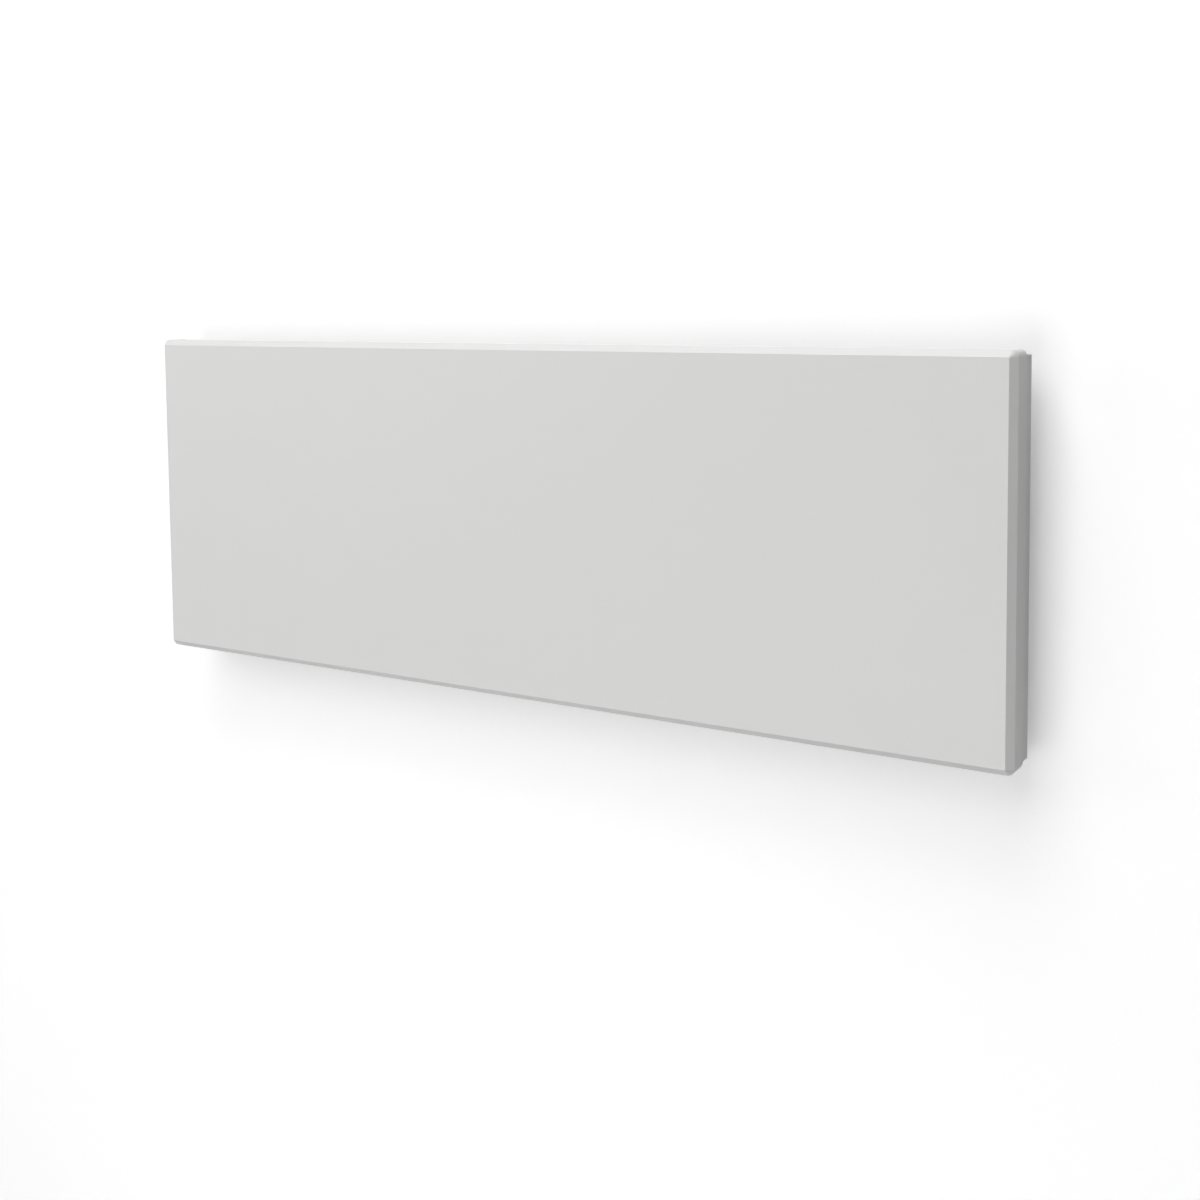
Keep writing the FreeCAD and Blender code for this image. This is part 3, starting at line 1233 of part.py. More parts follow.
def make_fasteners():
    screws_from_behind("grille_screws", grille_screw_places, s.wall_gap, s.casing_sheet + s.grille_sheet)
    screws_from_behind("housing_screws", housing_screw_places, s.wall_gap, s.casing_sheet + s.housing_wall)
    screws_from_behind("support_screws", support_screw_places, s.wall_gap, s.casing_sheet + s.support_sheet)
    group("cover_screws", [
        turned(f"cover_screw_{number}", "up", (x, -s.cover_screw_place, -half_height - s.head_height),
               (s.head_radius, s.head_height),
               (s.screw_radius, s.cover_sheet + s.nest_clearance + s.casing_sheet + s.screw_tip),
               sides=HEXAGON)
        for number, x in enumerate(cover_screw_places)])
    behind_plate = s.head_height - s.wall_gap
    rivets("shield_rivets", "front", [(x, behind_plate, z) for x, z in shield_rivet_places],
           s.casing_sheet + s.shield_sheet)
    rivets("ear_rivets", "front", [(x, behind_plate + s.ear_sheet, z) for x, z in ear_rivet_places],
           s.ear_sheet + s.casing_sheet)
    # The rivet's head is set flush in the wall face, so its first step starts at the wall.
    catch_rivets = [
        turned(f"catch_rivet_{side}", "front", (place, as_size(0), catch_height + s.catch_rivet),
               (s.screw_radius, s.rail_sheet + s.catch_sheet), (s.head_radius, s.tail_height),
               sides=HEXAGON)
        for side, place in rail_places.items()]
    group("catch_rivets", catch_rivets)
    end = s.bracket_spacing / 2 - s.rail_width / 2
    starts = (-end - s.rail_sheet - s.head_height, end - s.rail_sheet - s.head_height)
    rivets("bar_rivets", "right", [(x, -s.bar_rivet, z) for x in starts for z in (-s.bar_level, s.bar_level)],
           2 * s.rail_sheet)


def check_and_write():
    doc.recompute()
    for item in doc.Objects:
        if "Invalid" in item.State or "Error" in item.State:
            raise RuntimeError(f"{item.Label} failed: {item.State}")
    for label, item in nodes.items():
        if item.Shape.isNull() or not item.Shape.isValid():
            raise RuntimeError(f"{label} has no valid shape")
    os.makedirs("parts", exist_ok=True)
    for label, item in nodes.items():
        item.Shape.exportStep(f"parts/{label}.step")
    print(len(nodes), "sub-parts written")


make_front_cover()
make_rear_casing()
make_outlet_grille()
make_cover_clips()
make_heating_element()
make_element_ends()
make_element_supports()
make_heat_shields()
make_thermal_cutout()
make_sensor()
make_terminal_block()
make_earth_stud()
make_cord_grommet()
make_leads()
make_lead_clips()
make_control_housing()
make_control_deck()
make_display()
make_board()
make_buttons()
make_rocker()
make_bracket_rails()
make_cross_bars()
make_catches()
make_buffers()
make_pivot_ears()
make_fasteners()
check_and_write()
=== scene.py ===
import json
import math

import bmesh
import bpy
from mathutils import Matrix, Vector


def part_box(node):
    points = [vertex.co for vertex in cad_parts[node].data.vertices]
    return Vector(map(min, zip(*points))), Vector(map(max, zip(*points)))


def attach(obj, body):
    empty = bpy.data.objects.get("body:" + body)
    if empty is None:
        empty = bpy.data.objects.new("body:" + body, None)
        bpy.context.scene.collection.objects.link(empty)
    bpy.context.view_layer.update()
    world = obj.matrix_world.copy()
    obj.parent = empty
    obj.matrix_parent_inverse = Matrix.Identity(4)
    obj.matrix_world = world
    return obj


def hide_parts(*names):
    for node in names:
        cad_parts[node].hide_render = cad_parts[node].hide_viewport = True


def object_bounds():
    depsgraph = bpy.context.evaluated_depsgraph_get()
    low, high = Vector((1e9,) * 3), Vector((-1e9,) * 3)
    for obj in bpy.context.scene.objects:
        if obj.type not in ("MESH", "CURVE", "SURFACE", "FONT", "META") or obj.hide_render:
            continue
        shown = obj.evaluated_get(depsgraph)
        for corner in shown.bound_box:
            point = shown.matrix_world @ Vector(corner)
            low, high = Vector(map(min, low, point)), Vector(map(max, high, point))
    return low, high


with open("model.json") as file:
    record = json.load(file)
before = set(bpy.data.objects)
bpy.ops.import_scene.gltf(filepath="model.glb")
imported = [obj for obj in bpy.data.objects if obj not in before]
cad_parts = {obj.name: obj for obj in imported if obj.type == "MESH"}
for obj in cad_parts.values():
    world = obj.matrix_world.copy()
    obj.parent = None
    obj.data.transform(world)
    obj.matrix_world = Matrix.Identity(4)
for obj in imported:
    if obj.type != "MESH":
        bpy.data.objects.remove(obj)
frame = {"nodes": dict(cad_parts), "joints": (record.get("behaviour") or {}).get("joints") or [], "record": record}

bl_info = {
    "name": "Panel convector",
    "version": (1, 0, 0),
    "blender": (4, 5, 0),
    "location": "View3D > Sidebar > Convector",
    "description": "Finishes, small fittings and a white wall for a wall-hung panel convector",
    "category": "Object",
}

CAD_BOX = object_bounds()
MM = 0.001
RECORD = frame["record"]
JOINTS = {joint["name"]: joint for joint in frame["joints"]}
NODE_SLOTS = {part["node"]: part["material_slot"] for part in RECORD["subparts"]}
SLOT_COLOURS = {item["slot"]: item["base_color"] for item in RECORD["materials"]}
SHARP_ANGLE = math.radians(35)
READOUT = "21"
FACE_STEPS = 8


# Settings


def length(name, description, millimetres):
    return bpy.props.FloatProperty(
        name=name, description=description, default=millimetres * MM, unit="LENGTH", precision=5)


def angle(name, description, degrees):
    return bpy.props.FloatProperty(
        name=name, description=description, default=math.radians(degrees), unit="ROTATION")


def amount(name, description, value):
    return bpy.props.FloatProperty(name=name, description=description, default=value, precision=3)


def colour(name, description, value):
    return bpy.props.FloatVectorProperty(
        name=name, description=description, default=tuple(value), subtype="COLOR", size=3, min=0, max=1)


def place(name, description, metres):
    return bpy.props.FloatVectorProperty(
        name=name, description=description, default=metres, subtype="TRANSLATION", size=3)


class ConvectorFinish(bpy.types.PropertyGroup):
    """Colours of the visible finishes."""

    paint: colour("Paint", "Powder coat of the cover and the grille", (0.80, 0.80, 0.795))
    casing_paint: colour("Casing paint", "Powder coat of the casing", (0.78, 0.78, 0.775))
    deck: colour("Deck", "Moulded control deck and its housing", (0.76, 0.76, 0.755))
    keys: colour("Keys", "Push buttons", (0.70, 0.70, 0.69))
    black: colour("Black", "Rocker, bezel and other black mouldings", (0.022, 0.022, 0.024))
    glass: colour("Glass", "Smoked display window", (0.010, 0.010, 0.012))
    digits: colour("Digits", "Lit digits of the display", (0.85, 0.93, 1.0))
    marks: colour("Marks", "Printed signs on the keys", (0.09, 0.09, 0.10))
    zinc: colour("Zinc", "Galvanised bracket steel", (0.60, 0.61, 0.62))
    rubber: colour("Rubber", "Buffers and grommet", (0.025, 0.025, 0.025))


class ConvectorFittings(bpy.types.PropertyGroup):
    """Sizes of the small fittings."""

    key_flange: length("Key flange", "Flange that keeps a push button in its hole", 1.0)
    key_corner: length("Key corner", "Corner radius of a push button", 1.6)
    key_least: length("Key least", "Smallest corner radius on a push button's top", 0.4)
    key_rim: length("Key rim", "Rounding of a push button's rim", 0.6)
    key_dish: length("Key dish", "Hollow of a push button's top", 0.15)
    mark_size: length("Mark size", "Half the height of a sign on a key", 1.7)
    mark_line: length("Mark line", "Line width of a sign", 0.42)
    mark_film: length("Mark film", "Thickness of a printed sign", 0.03)
    digit_height: length("Digit height", "Height of a display digit", 9.0)
    digit_stroke: length("Digit stroke", "Width of a digit's bars", 1.2)
    digit_slant: amount("Digit slant", "Lean of the digits, sideways for their height", 0.08)
    rocker_length: length("Rocker length", "Rocker from tip to tip", 18.0)
    rocker_width: length("Rocker width", "Rocker, front to back", 11.0)
    rocker_tip: length("Rocker tip", "Rocker's tips above its axis", 3.95)
    rocker_dip: length("Rocker dip", "Rocker's middle above its axis", 2.75)
    rocker_root: length("Rocker root", "Rocker's underside below its axis", 3.5)
    rocker_lean: angle("Rocker lean", "Lean of the rocker at rest", 8.0)
    rocker_edge: length("Rocker edge", "Rounding of the rocker's sides", 0.5)
    axle: length("Axle", "Radius of the rocker's trunnions", 1.2)
    axle_bevel: length("Axle bevel", "Bevel at the ends of the trunnions", 0.15)
    screw_head: length("Screw head", "Height of a screw's head with its flange", 1.6)
    washer: length("Washer", "Flange under a screw's hexagon", 0.45)
    thread_pitch: length("Thread pitch", "Step of the screws' threads", 1.0)
    rivet_head: length("Rivet head", "Height of a rivet's domed head", 1.6)
    rivet_tail: length("Rivet tail", "Height of a rivet's closed end", 1.2)
    rivet_hole: length("Rivet hole", "Radius of the hollow in a rivet's head", 1.1)
    grommet_lip: length("Grommet lip", "Thickness of the grommet's brims", 2.5)
    grommet_play: length("Grommet play", "Room round the grommet's neck", 0.1)
    grommet_inside: length("Grommet inside", "Hollow of the membrane inside the casing", 0.8)
    grommet_outside: length("Grommet outside", "Hollow of the membrane towards the wall", 0.9)
    grommet_groove: length("Grommet groove", "Depth of the groove round the membrane", 0.5)


class ConvectorStage(bpy.types.PropertyGroup):
    """Camera, light and surroundings."""

    lens: amount("Lens", "Focal length in millimetres", 46.93)
    sensor: amount("Sensor", "Width of the camera's sensor in millimetres", 36)
    shift: amount("Shift", "Upward shift of the frame, in frame widths", -0.1575)
    camera: place("Camera", "Camera position", (0.998, -1.490, 0.257))
    turn: angle("Turn", "Camera turned left of straight at the wall", 32.20)
    tilt: angle("Tilt", "Camera tilted below level", 4.38)
    roll: angle("Roll", "Camera rolled about its view", -0.56)
    wall: length("Wall", "Width of the wall and of the floor", 9000)
    wall_inset: length("Wall inset", "Wall before the bracket's back, so that no faces share a plane", 0.2)
    floor_level: length("Floor level", "Floor below the heater's middle", -1300)
    wall_glow: amount("Wall glow", "Brightness added to the wall for the camera", 0.315)
    wall_bounce: amount("Wall bounce", "Share of its light that the wall throws on the heater", 0.65)
    sun_turn: angle("Sun turn", "Main light, left of straight at the wall", 8)
    sun_rise: angle("Sun rise", "Main light above level", 42)
    sun_spread: angle("Sun spread", "Angle across the soft main light", 44)
    sun_power: amount("Sun power", "Strength of the main light", 0.95)
    left_place: place("Left place", "Middle of the left lamp", (-1.9, -1.6, 0.6))
    left_power: amount("Left power", "Power of the left lamp in watts", 8.7)
    top_place: place("Top place", "Middle of the lamp overhead", (0.1, -0.9, 2.3))
    top_power: amount("Top power", "Power of the lamp overhead in watts", 28.3)
    low_place: place("Low place", "Middle of the low lamp in front", (0.1, -2.4, -0.65))
    low_power: amount("Low power", "Power of the low lamp in watts", 15.6)
    rear_place: place("Rear place", "Middle of the lamp behind the wall", (0.4, 2.6, 0.4))
    rear_power: amount("Rear power", "Power of the lamp behind the wall in watts", 55)
    lamp_size: length("Lamp size", "Width of each lamp but the sun", 1400)


GROUPS = {
    "convector_finish": ConvectorFinish,
    "convector_fittings": ConvectorFittings,
    "convector_stage": ConvectorStage,
}


# Materials


class Nodes:
    """A node tree with short calls to add, set and join its nodes."""

    def __init__(self, tree):
        self.tree = tree

    def add(self, kind, inputs=None, **settings):
        node = self.tree.nodes.new(kind)
        for name, value in settings.items():
            setattr(node, name, value)
        for name, value in (inputs or {}).items():
            if isinstance(value, bpy.types.NodeSocket):
                self.tree.links.new(value, node.inputs[name])
            else:
                node.inputs[name].default_value = value
        return node

    def math(self, operation, *values):
        """A value worked out from others."""
        return self.add("ShaderNodeMath", dict(enumerate(values)), operation=operation).outputs[0]

    def noise(self, spot, scale, detail):
        """Cloudy noise as a value."""
        node = self.add("ShaderNodeTexNoise", {"Vector": spot, "Scale": scale, "Detail": detail})
        return node.outputs["Fac"]

    def mix(self, factor, first, second):
        """A colour between two others."""
        node = self.add("ShaderNodeMix", {"Factor": factor, "A": first, "B": second}, data_type="RGBA")
        return node.outputs["Result"]

    def spot(self):
        """A place on the piece, in metres."""
        return self.add("ShaderNodeTexCoord").outputs["Object"]


# Patterns. Each takes a place and a scale, and gives a tone and a height.


def powder_pattern(nodes, spot, scale):
    """Orange peel of a powder coat over a broad, faint change of tone."""
    broad = nodes.noise(spot, 5.0, 2.0)
    peel = nodes.add("ShaderNodeTexNoise", {"Vector": spot, "Scale": scale, "Detail": 3.0, "Roughness": 0.6})
    height = peel.outputs["Fac"]
    return nodes.math("MULTIPLY_ADD", height, 0.3, nodes.math("MULTIPLY", broad, 0.7)), height


def moulded_pattern(nodes, spot, scale):
    """Spark-eroded grain of a moulded part."""
    pits = nodes.add("ShaderNodeTexVoronoi", {"Vector": spot, "Scale": scale}, feature="SMOOTH_F1")
    height = pits.outputs["Distance"]
    haze = nodes.noise(spot, 60.0, 4.0)
    return nodes.math("MULTIPLY_ADD", height, 0.5, nodes.math("MULTIPLY", haze, 0.6)), height


def drawn_pattern(nodes, spot, scale):
    """Fine lines along the length of drawn, rolled or extruded metal."""
    stretched = nodes.add("ShaderNodeMapping", {"Vector": spot, "Scale": (0.02, 1.0, 1.0)})
    lines = nodes.noise(stretched.outputs[0], scale, 5.0)
    stain = nodes.noise(spot, 25.0, 3.0)
    return nodes.math("MULTIPLY_ADD", lines, 0.6, nodes.math("MULTIPLY", stain, 0.4)), lines


def spangle_pattern(nodes, spot, scale):
    """Crystal spangle of hot-dip zinc."""
    bent = nodes.add("ShaderNodeTexNoise", {"Vector": spot, "Scale": 90.0, "Detail": 2.0})
    wander = nodes.add("ShaderNodeVectorMath", {0: bent.outputs["Color"], "Scale": 4 * MM}, operation="SCALE")
    moved = nodes.add("ShaderNodeVectorMath", {0: spot, 1: wander.outputs[0]}, operation="ADD")
    cells = nodes.add("ShaderNodeTexVoronoi", {"Vector": moved.outputs[0], "Scale": scale})
    shade = nodes.add("ShaderNodeSeparateColor", {"Color": cells.outputs["Color"]})
    return shade.outputs["Red"], cells.outputs["Distance"]


def speckle_pattern(nodes, spot, scale):
    """Grains of a fired, sintered or filled material."""
    grains = nodes.add("ShaderNodeTexVoronoi", {"Vector": spot, "Scale": scale})
    shade = nodes.add("ShaderNodeSeparateColor", {"Color": grains.outputs["Color"]})
    return shade.outputs["Green"], nodes.noise(spot, scale, 4.0)


def track_pattern(nodes, spot, scale):
    """Copper tracks under a board's solder mask."""
    tracks = nodes.add("ShaderNodeTexBrick", {
        "Vector": spot, "Scale": scale, "Mortar Size": 0.09, "Mortar Smooth": 0.2, "Brick Width": 1.3})
    height = tracks.outputs["Fac"]
    return nodes.math("MULTIPLY_ADD", nodes.noise(spot, 300.0, 2.0), 0.3, height), height


PATTERNS = {
    "Powder film": powder_pattern,
    "Moulded grain": moulded_pattern,
    "Drawn metal": drawn_pattern,
    "Zinc spangle": spangle_pattern,
    "Fired speckle": speckle_pattern,
    "Board tracks": track_pattern,
}


EFFECT_SOCKETS = {
    "INPUT": ("Colour", "Feature", "Contrast", "Smoothest", "Roughest"),
    "OUTPUT": ("Colour", "Roughness", "Height"),
}


def effect(name):
    """The shared node group of one pattern: it gives a colour, a roughness and a height."""
    if name in bpy.data.node_groups:
        return bpy.data.node_groups[name]
    tree = bpy.data.node_groups.new(name, "ShaderNodeTree")
    for way, sockets in EFFECT_SOCKETS.items():
        for socket in sockets:
            kind = "NodeSocketColor" if socket == "Colour" else "NodeSocketFloat"
            tree.interface.new_socket(name=socket, in_out=way, socket_type=kind)
    nodes = Nodes(tree)
    given = nodes.add("NodeGroupInput").outputs
    scale = nodes.math("DIVIDE", 1.0, given["Feature"])
    tone, height = PATTERNS[name](nodes, nodes.spot(), scale)
    shade = nodes.math("MULTIPLY", tone, given["Contrast"])
    gloss = nodes.add("ShaderNodeMapRange", {
        "Value": tone, "To Min": given["Smoothest"], "To Max": given["Roughest"]})
    nodes.add("NodeGroupOutput", {
        "Colour": nodes.mix(shade, given["Colour"], (0, 0, 0, 1)),
        "Roughness": gloss.outputs["Result"], "Height": height})
    return tree


def new_material(name):
    """An empty material, and its nodes."""
    material = bpy.data.materials.new(name)
    material.use_nodes = True
    material.node_tree.nodes.clear()
    return material, Nodes(material.node_tree)


def finish(name, pattern, tint, feature, contrast, gloss, relief, metallic=0.0, coat=0.0):
    """A material from one shared effect: feature and relief in mm, gloss as (smoothest, roughest)."""
    if name in bpy.data.materials:
        return bpy.data.materials[name]
    material, nodes = new_material(name)
    look = nodes.add("ShaderNodeGroup", {
        "Colour": (*tint, 1.0), "Feature": feature * MM, "Contrast": contrast,
        "Smoothest": gloss[0], "Roughest": gloss[1]}, node_tree=effect(pattern)).outputs
    surface = {"Base Color": look["Colour"], "Roughness": look["Roughness"],
               "Metallic": metallic, "Coat Weight": coat}
    if relief:
        bump = nodes.add("ShaderNodeBump", {"Height": look["Height"], "Distance": relief * MM})
        surface["Normal"] = bump.outputs["Normal"]
    shader = nodes.add("ShaderNodeBsdfPrincipled", surface)
    nodes.add("ShaderNodeOutputMaterial", {"Surface": shader.outputs["BSDF"]})
    return material


def sign_material(name, tint, contrast):
    """Ink of a printed sign."""
    return finish(name, "Moulded grain", tint, 0.4, contrast, (0.40, 0.55), 0.0)


def lit_digits(tint):
    """Digits that glow through the window, a little uneven along each bar."""
    material, nodes = new_material("Lit digits")
    uneven = nodes.noise(nodes.spot(), 700.0, 2.0)
    dimmer = [0.8 * part for part in tint]
    glow = nodes.mix(uneven, (*tint, 1.0), (*dimmer, 1.0))
    shader = nodes.add("ShaderNodeBsdfPrincipled", {
        "Base Color": glow, "Emission Color": glow, "Roughness": 0.3, "Emission Strength": 0.9})
    nodes.add("ShaderNodeOutputMaterial", {"Surface": shader.outputs["BSDF"]})
    return material


def slot_material(slot):
    """The finish of a record slot."""
    tones = bpy.context.scene.convector_finish
    given = SLOT_COLOURS[slot]
    lead = ("Drawn metal", given, 1.0, 0.15, (0.45, 0.60), 0.03)
    # Pattern, tint, feature, contrast, gloss and relief, and for some metallic and coat
    table = {
        "cover_paint": ("Powder film", tones.paint, 1.1, 0.02, (0.42, 0.52), 0.03),
        "grille_paint": ("Powder film", tones.paint, 1.1, 0.03, (0.42, 0.52), 0.03),
        "casing_paint": ("Powder film", tones.casing_paint, 1.2, 0.04, (0.46, 0.58), 0.04),
        "galvanised_steel": ("Zinc spangle", tones.zinc, 4.5, 0.16, (0.36, 0.50), 0.01, 1.0),
        "spring_steel": ("Drawn metal", given, 0.6, 0.25, (0.25, 0.42), 0.01, 1.0),
        "fastener_steel": ("Drawn metal", given, 0.5, 0.20, (0.22, 0.38), 0.01, 1.0),
        "element_aluminium": ("Drawn metal", given, 0.8, 0.22, (0.30, 0.45), 0.02, 1.0),
        "shield_aluminium": ("Drawn metal", given, 1.0, 0.15, (0.25, 0.40), 0.02, 1.0),
        "bush_ceramic": ("Fired speckle", given, 0.7, 0.12, (0.55, 0.75), 0.04),
        "deck_plastic": ("Moulded grain", tones.deck, 0.7, 0.05, (0.42, 0.55), 0.03),
        "window_plastic": ("Moulded grain", tones.glass, 3.0, 0.25, (0.05, 0.09), 0.0, 0.0, 0.6),
        "button_plastic": ("Moulded grain", tones.keys, 0.5, 0.05, (0.34, 0.46), 0.01),
        "black_plastic": ("Moulded grain", tones.black, 0.6, 0.30, (0.36, 0.50), 0.03),
        "ferrite": ("Fired speckle", given, 0.6, 0.35, (0.50, 0.70), 0.04),
        "board_laminate": ("Board tracks", given, 6.0, 0.35, (0.25, 0.40), 0.03),
        "clip_plastic": ("Moulded grain", given, 0.8, 0.10, (0.40, 0.55), 0.03),
        "black_rubber": ("Fired speckle", tones.rubber, 0.9, 0.35, (0.68, 0.85), 0.05),
        "brown_lead": lead,
        "blue_lead": lead,
        "grey_lead": lead,
    }
    return finish(slot.replace("_", " ").capitalize(), *table[slot])


def dress(*slots):
    """Give the nodes of these slots their finish."""
    for node, slot in NODE_SLOTS.items():
        if slot in slots:
            mesh = frame["nodes"][node].data
            mesh.materials.clear()
            mesh.materials.append(slot_material(slot))


# Mesh helpers. Every piece is built in the frame's own metres.


def body_of(node):
    """The body that carries a node."""
    return next(body for body, nodes in RECORD["behaviour"]["bodies"].items() if node in nodes)


def new_piece(name, bm, node, slot, material=None, smooth=True, replace=False):
    """A mesh piece that rides with a node, wears its record slot's finish or a given material, and can stand in
    for the node.
    """
    bmesh.ops.recalc_face_normals(bm, faces=bm.faces)
    mesh = bpy.data.meshes.new(name)
    for face in bm.faces:
        face.smooth = smooth
    bm.to_mesh(mesh)
    bm.free()
    mesh.materials.append(material or slot_material(slot))
    if smooth:
        mesh.set_sharp_from_angle(angle=SHARP_ANGLE)
    piece = bpy.data.objects.new(name, mesh)
    bpy.context.scene.collection.objects.link(piece)
    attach(piece, body_of(node))
    if replace:
        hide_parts(node)


def loft(bm, rings):
    """A closed solid: faces between rings of the same number of points, with flat ends."""
    rows = [[bm.verts.new(point) for point in ring] for ring in rings]
    count = len(rows[0])
    for below, above in zip(rows, rows[1:]):
        for number in range(count):
            following = (number + 1) % count
            bm.faces.new((below[number], below[following], above[following], above[number]))
    bm.faces.new(rows[0][::-1])
    bm.faces.new(rows[-1])


def spin(bm, profile, where, sides):
    """A turned solid: (radius, height) points from one end to the other about the place's own Z."""
    turns = [2 * math.pi * number / sides for number in range(sides)]
    loft(bm, [[where @ Vector((radius * math.cos(turn), radius * math.sin(turn), height)) for turn in turns]
              for radius, height in profile])


def facing(axis, point):
    """The place of a turned piece: its Z along an axis, its zero at a point."""
    return Matrix.Translation(point) @ Vector(axis).to_track_quat("Z", "Y").to_matrix().to_4x4()


def rounded(half_x, half_y, corner, steps=6):
    """Points of a rectangle with rounded corners, round its middle."""
    points = []
    for number, (side_x, side_y) in enumerate(((1, 1), (-1, 1), (-1, -1), (1, -1))):
        for step in range(steps + 1):
            turn = math.pi / 2 * (number + step / steps)
            points.append((side_x * (half_x - corner) + corner * math.cos(turn),
                           side_y * (half_y - corner) + corner * math.sin(turn)))
    return points


def bar(bm, start, end, width, where, pointed=0.0):
    """A flat stroke between two points of a sign, with pointed ends where asked."""
    start, end = Vector(start), Vector(end)
    along = (end - start).normalized()
    side = Vector((-along.y, along.x)) * width / 2
    if pointed:
        tip = along * pointed
        outline = [start + side + tip, start, start - side + tip, end - side - tip, end, end + side - tip]
    else:
        outline = [start + side, start - side, end - side, end + side]
    bm.faces.new([bm.verts.new(where(point)) for point in outline])


def arc(bm, middle, radius, first, last, width, where, steps=28):
    """A flat stroke along part of a circle, angles in degrees."""
    turns = [math.radians(first + (last - first) * step / steps) for step in range(steps + 1)]
    edges = [[where(Vector(middle) + reach * Vector((math.cos(turn), math.sin(turn)))) for turn in turns]
             for reach in (radius - width / 2, radius + width / 2)]
    inner, outer = ([bm.verts.new(point) for point in edge] for edge in edges)
    for step in range(steps):
        bm.faces.new((inner[step], outer[step], outer[step + 1], inner[step + 1]))


def thicken(bm, film):
    """Give flat strokes the thickness of a printed film, downwards."""
    bmesh.ops.recalc_face_normals(bm, faces=bm.faces)
    for face in bm.faces:
        if face.normal.z < 0:
            face.normal_flip()
    bmesh.ops.solidify(bm, geom=bm.faces[:], thickness=film)


def solid_boxes(node, reach=13 * MM):
    """The box of each solid in a node of small alike solids, each within reach of its first point."""
    clusters = []
    for vertex in frame["nodes"][node].data.vertices:
        near = next((item for item in clusters if (item[0] - vertex.co).length < reach), None)
        if near is None:
            clusters.append([vertex.co.copy(), vertex.co.copy(), vertex.co.copy()])
            continue
        for axis in range(3):
            near[1][axis] = min(near[1][axis], vertex.co[axis])
            near[2][axis] = max(near[2][axis], vertex.co[axis])
    return [(low, high) for first, low, high in clusters]


# Operators, one for each piece or group of like pieces


class CasingFinish(bpy.types.Operator):
    """Powder coat on the front cover, the casing and the outlet grille"""

    bl_idname = "convector.finish_casing"
    bl_label = "Finish casing"

    def execute(self, context):
        dress("cover_paint", "casing_paint", "grille_paint")
        return {"FINISHED"}


class BracketFinish(bpy.types.Operator):
    """Galvanised rails, bars, ears and supports, spring catches and rubber buffers"""

    bl_idname = "convector.finish_bracket"
    bl_label = "Finish bracket"

    def execute(self, context):
        dress("galvanised_steel", "spring_steel", "fastener_steel", "black_rubber")
        return {"FINISHED"}


class InsideFinish(bpy.types.Operator):
    """Element, shields, bushes, board, leads and clips inside the casing"""

    bl_idname = "convector.finish_inside"
    bl_label = "Finish inside"

    def execute(self, context):
        dress("element_aluminium", "shield_aluminium", "bush_ceramic", "ferrite", "board_laminate",
              "clip_plastic", "brown_lead", "blue_lead", "grey_lead")
        return {"FINISHED"}


class DeckFinish(bpy.types.Operator):
    """Grained deck and housing, smoked window, keys and black mouldings"""

    bl_idname = "convector.finish_deck"
    bl_label = "Finish deck"

    def execute(self, context):
        dress("deck_plastic", "window_plastic", "button_plastic", "black_plastic")
        return {"FINISHED"}


def fasteners(make, ending, axes):
    """Shaped fasteners in the place of a node's plain ones, their heads at the far end of each axis."""
    sizes = bpy.context.scene.convector_fittings
    for node, axis in axes.items():
        axis = Vector(axis)
        bm = bmesh.new()
        for low, high in solid_boxes(node):
            size = high - low
            radius = max(part for part, along in zip(size, axis) if not along) / 2
            make(bm, facing(axis, (low + high) / 2), abs(size.dot(axis)), radius, sizes)
        new_piece(f"{node}_{ending}", bm, node, "fastener_steel", replace=True)


def screw(bm, where, reach, radius, sizes):
    """A hexagon screw with a flange and a thread."""
    head, washer, pitch = sizes.screw_head, sizes.washer, sizes.thread_pitch
    seat = where @ Matrix.Translation((0, 0, reach / 2 - head))
    flange = [(0.2 * radius, 0), (0.97 * radius, 0), (radius, 0.3 * washer), (0.97 * radius, 0.8 * washer),
              (0.86 * radius, washer), (0.2 * radius, washer)]
    spin(bm, flange, seat, sides=28)
    wide = 0.84 * radius
    hexagon = [(0.2 * radius, 0.5 * washer), (wide, 0.5 * washer), (wide, 0.84 * head), (0.86 * wide, head),
               (0.62 * wide, head), (0.56 * wide, 0.8 * head), (0.1 * wide, 0.76 * head)]
    spin(bm, hexagon, seat, sides=6)
    shank = 0.5 * radius
    thread = [(shank, 0)]
    for number in range(int((reach - head) / pitch)):
        thread += [(0.82 * shank, -(number + 0.5) * pitch), (shank, -(number + 1) * pitch)]
    thread += [(0.2 * shank, head - reach)]
    spin(bm, thread, seat, sides=14)


class ScrewHeads(bpy.types.Operator):
    """Hexagon screws with flanges for the cover, grille, housing and supports"""

    bl_idname = "convector.add_screws"
    bl_label = "Add screws"

    def execute(self, context):
        fasteners(screw, "turned", {"cover_screws": (0, 0, -1), "grille_screws": (0, 1, 0),
                                    "housing_screws": (0, 1, 0), "support_screws": (0, 1, 0)})
        return {"FINISHED"}


def rivet(bm, where, reach, radius, sizes):
    """A blind rivet: domed head with a hollow, shank, and a rounded closed end."""
    half = reach / 2
    head, tail, hole = sizes.rivet_head, sizes.rivet_tail, sizes.rivet_hole
    shank = 0.55 * radius
    end = [(0.86 * radius * math.cos(turn), tail - half - tail * math.sin(turn))
           for turn in map(math.radians, (75, 55, 35, 15, 0))]
    dome = [(radius * math.cos(turn), half - head + head * math.sin(turn))
            for turn in map(math.radians, (0, 15, 30, 45, 58))]
    hollow = [(hole, half - 0.1 * head), (0.92 * hole, half - 0.5 * head), (0.1 * hole, half - 0.5 * head)]
    spin(bm, end + [(shank, tail - half), (shank, half - head)] + dome + hollow, where, sides=24)


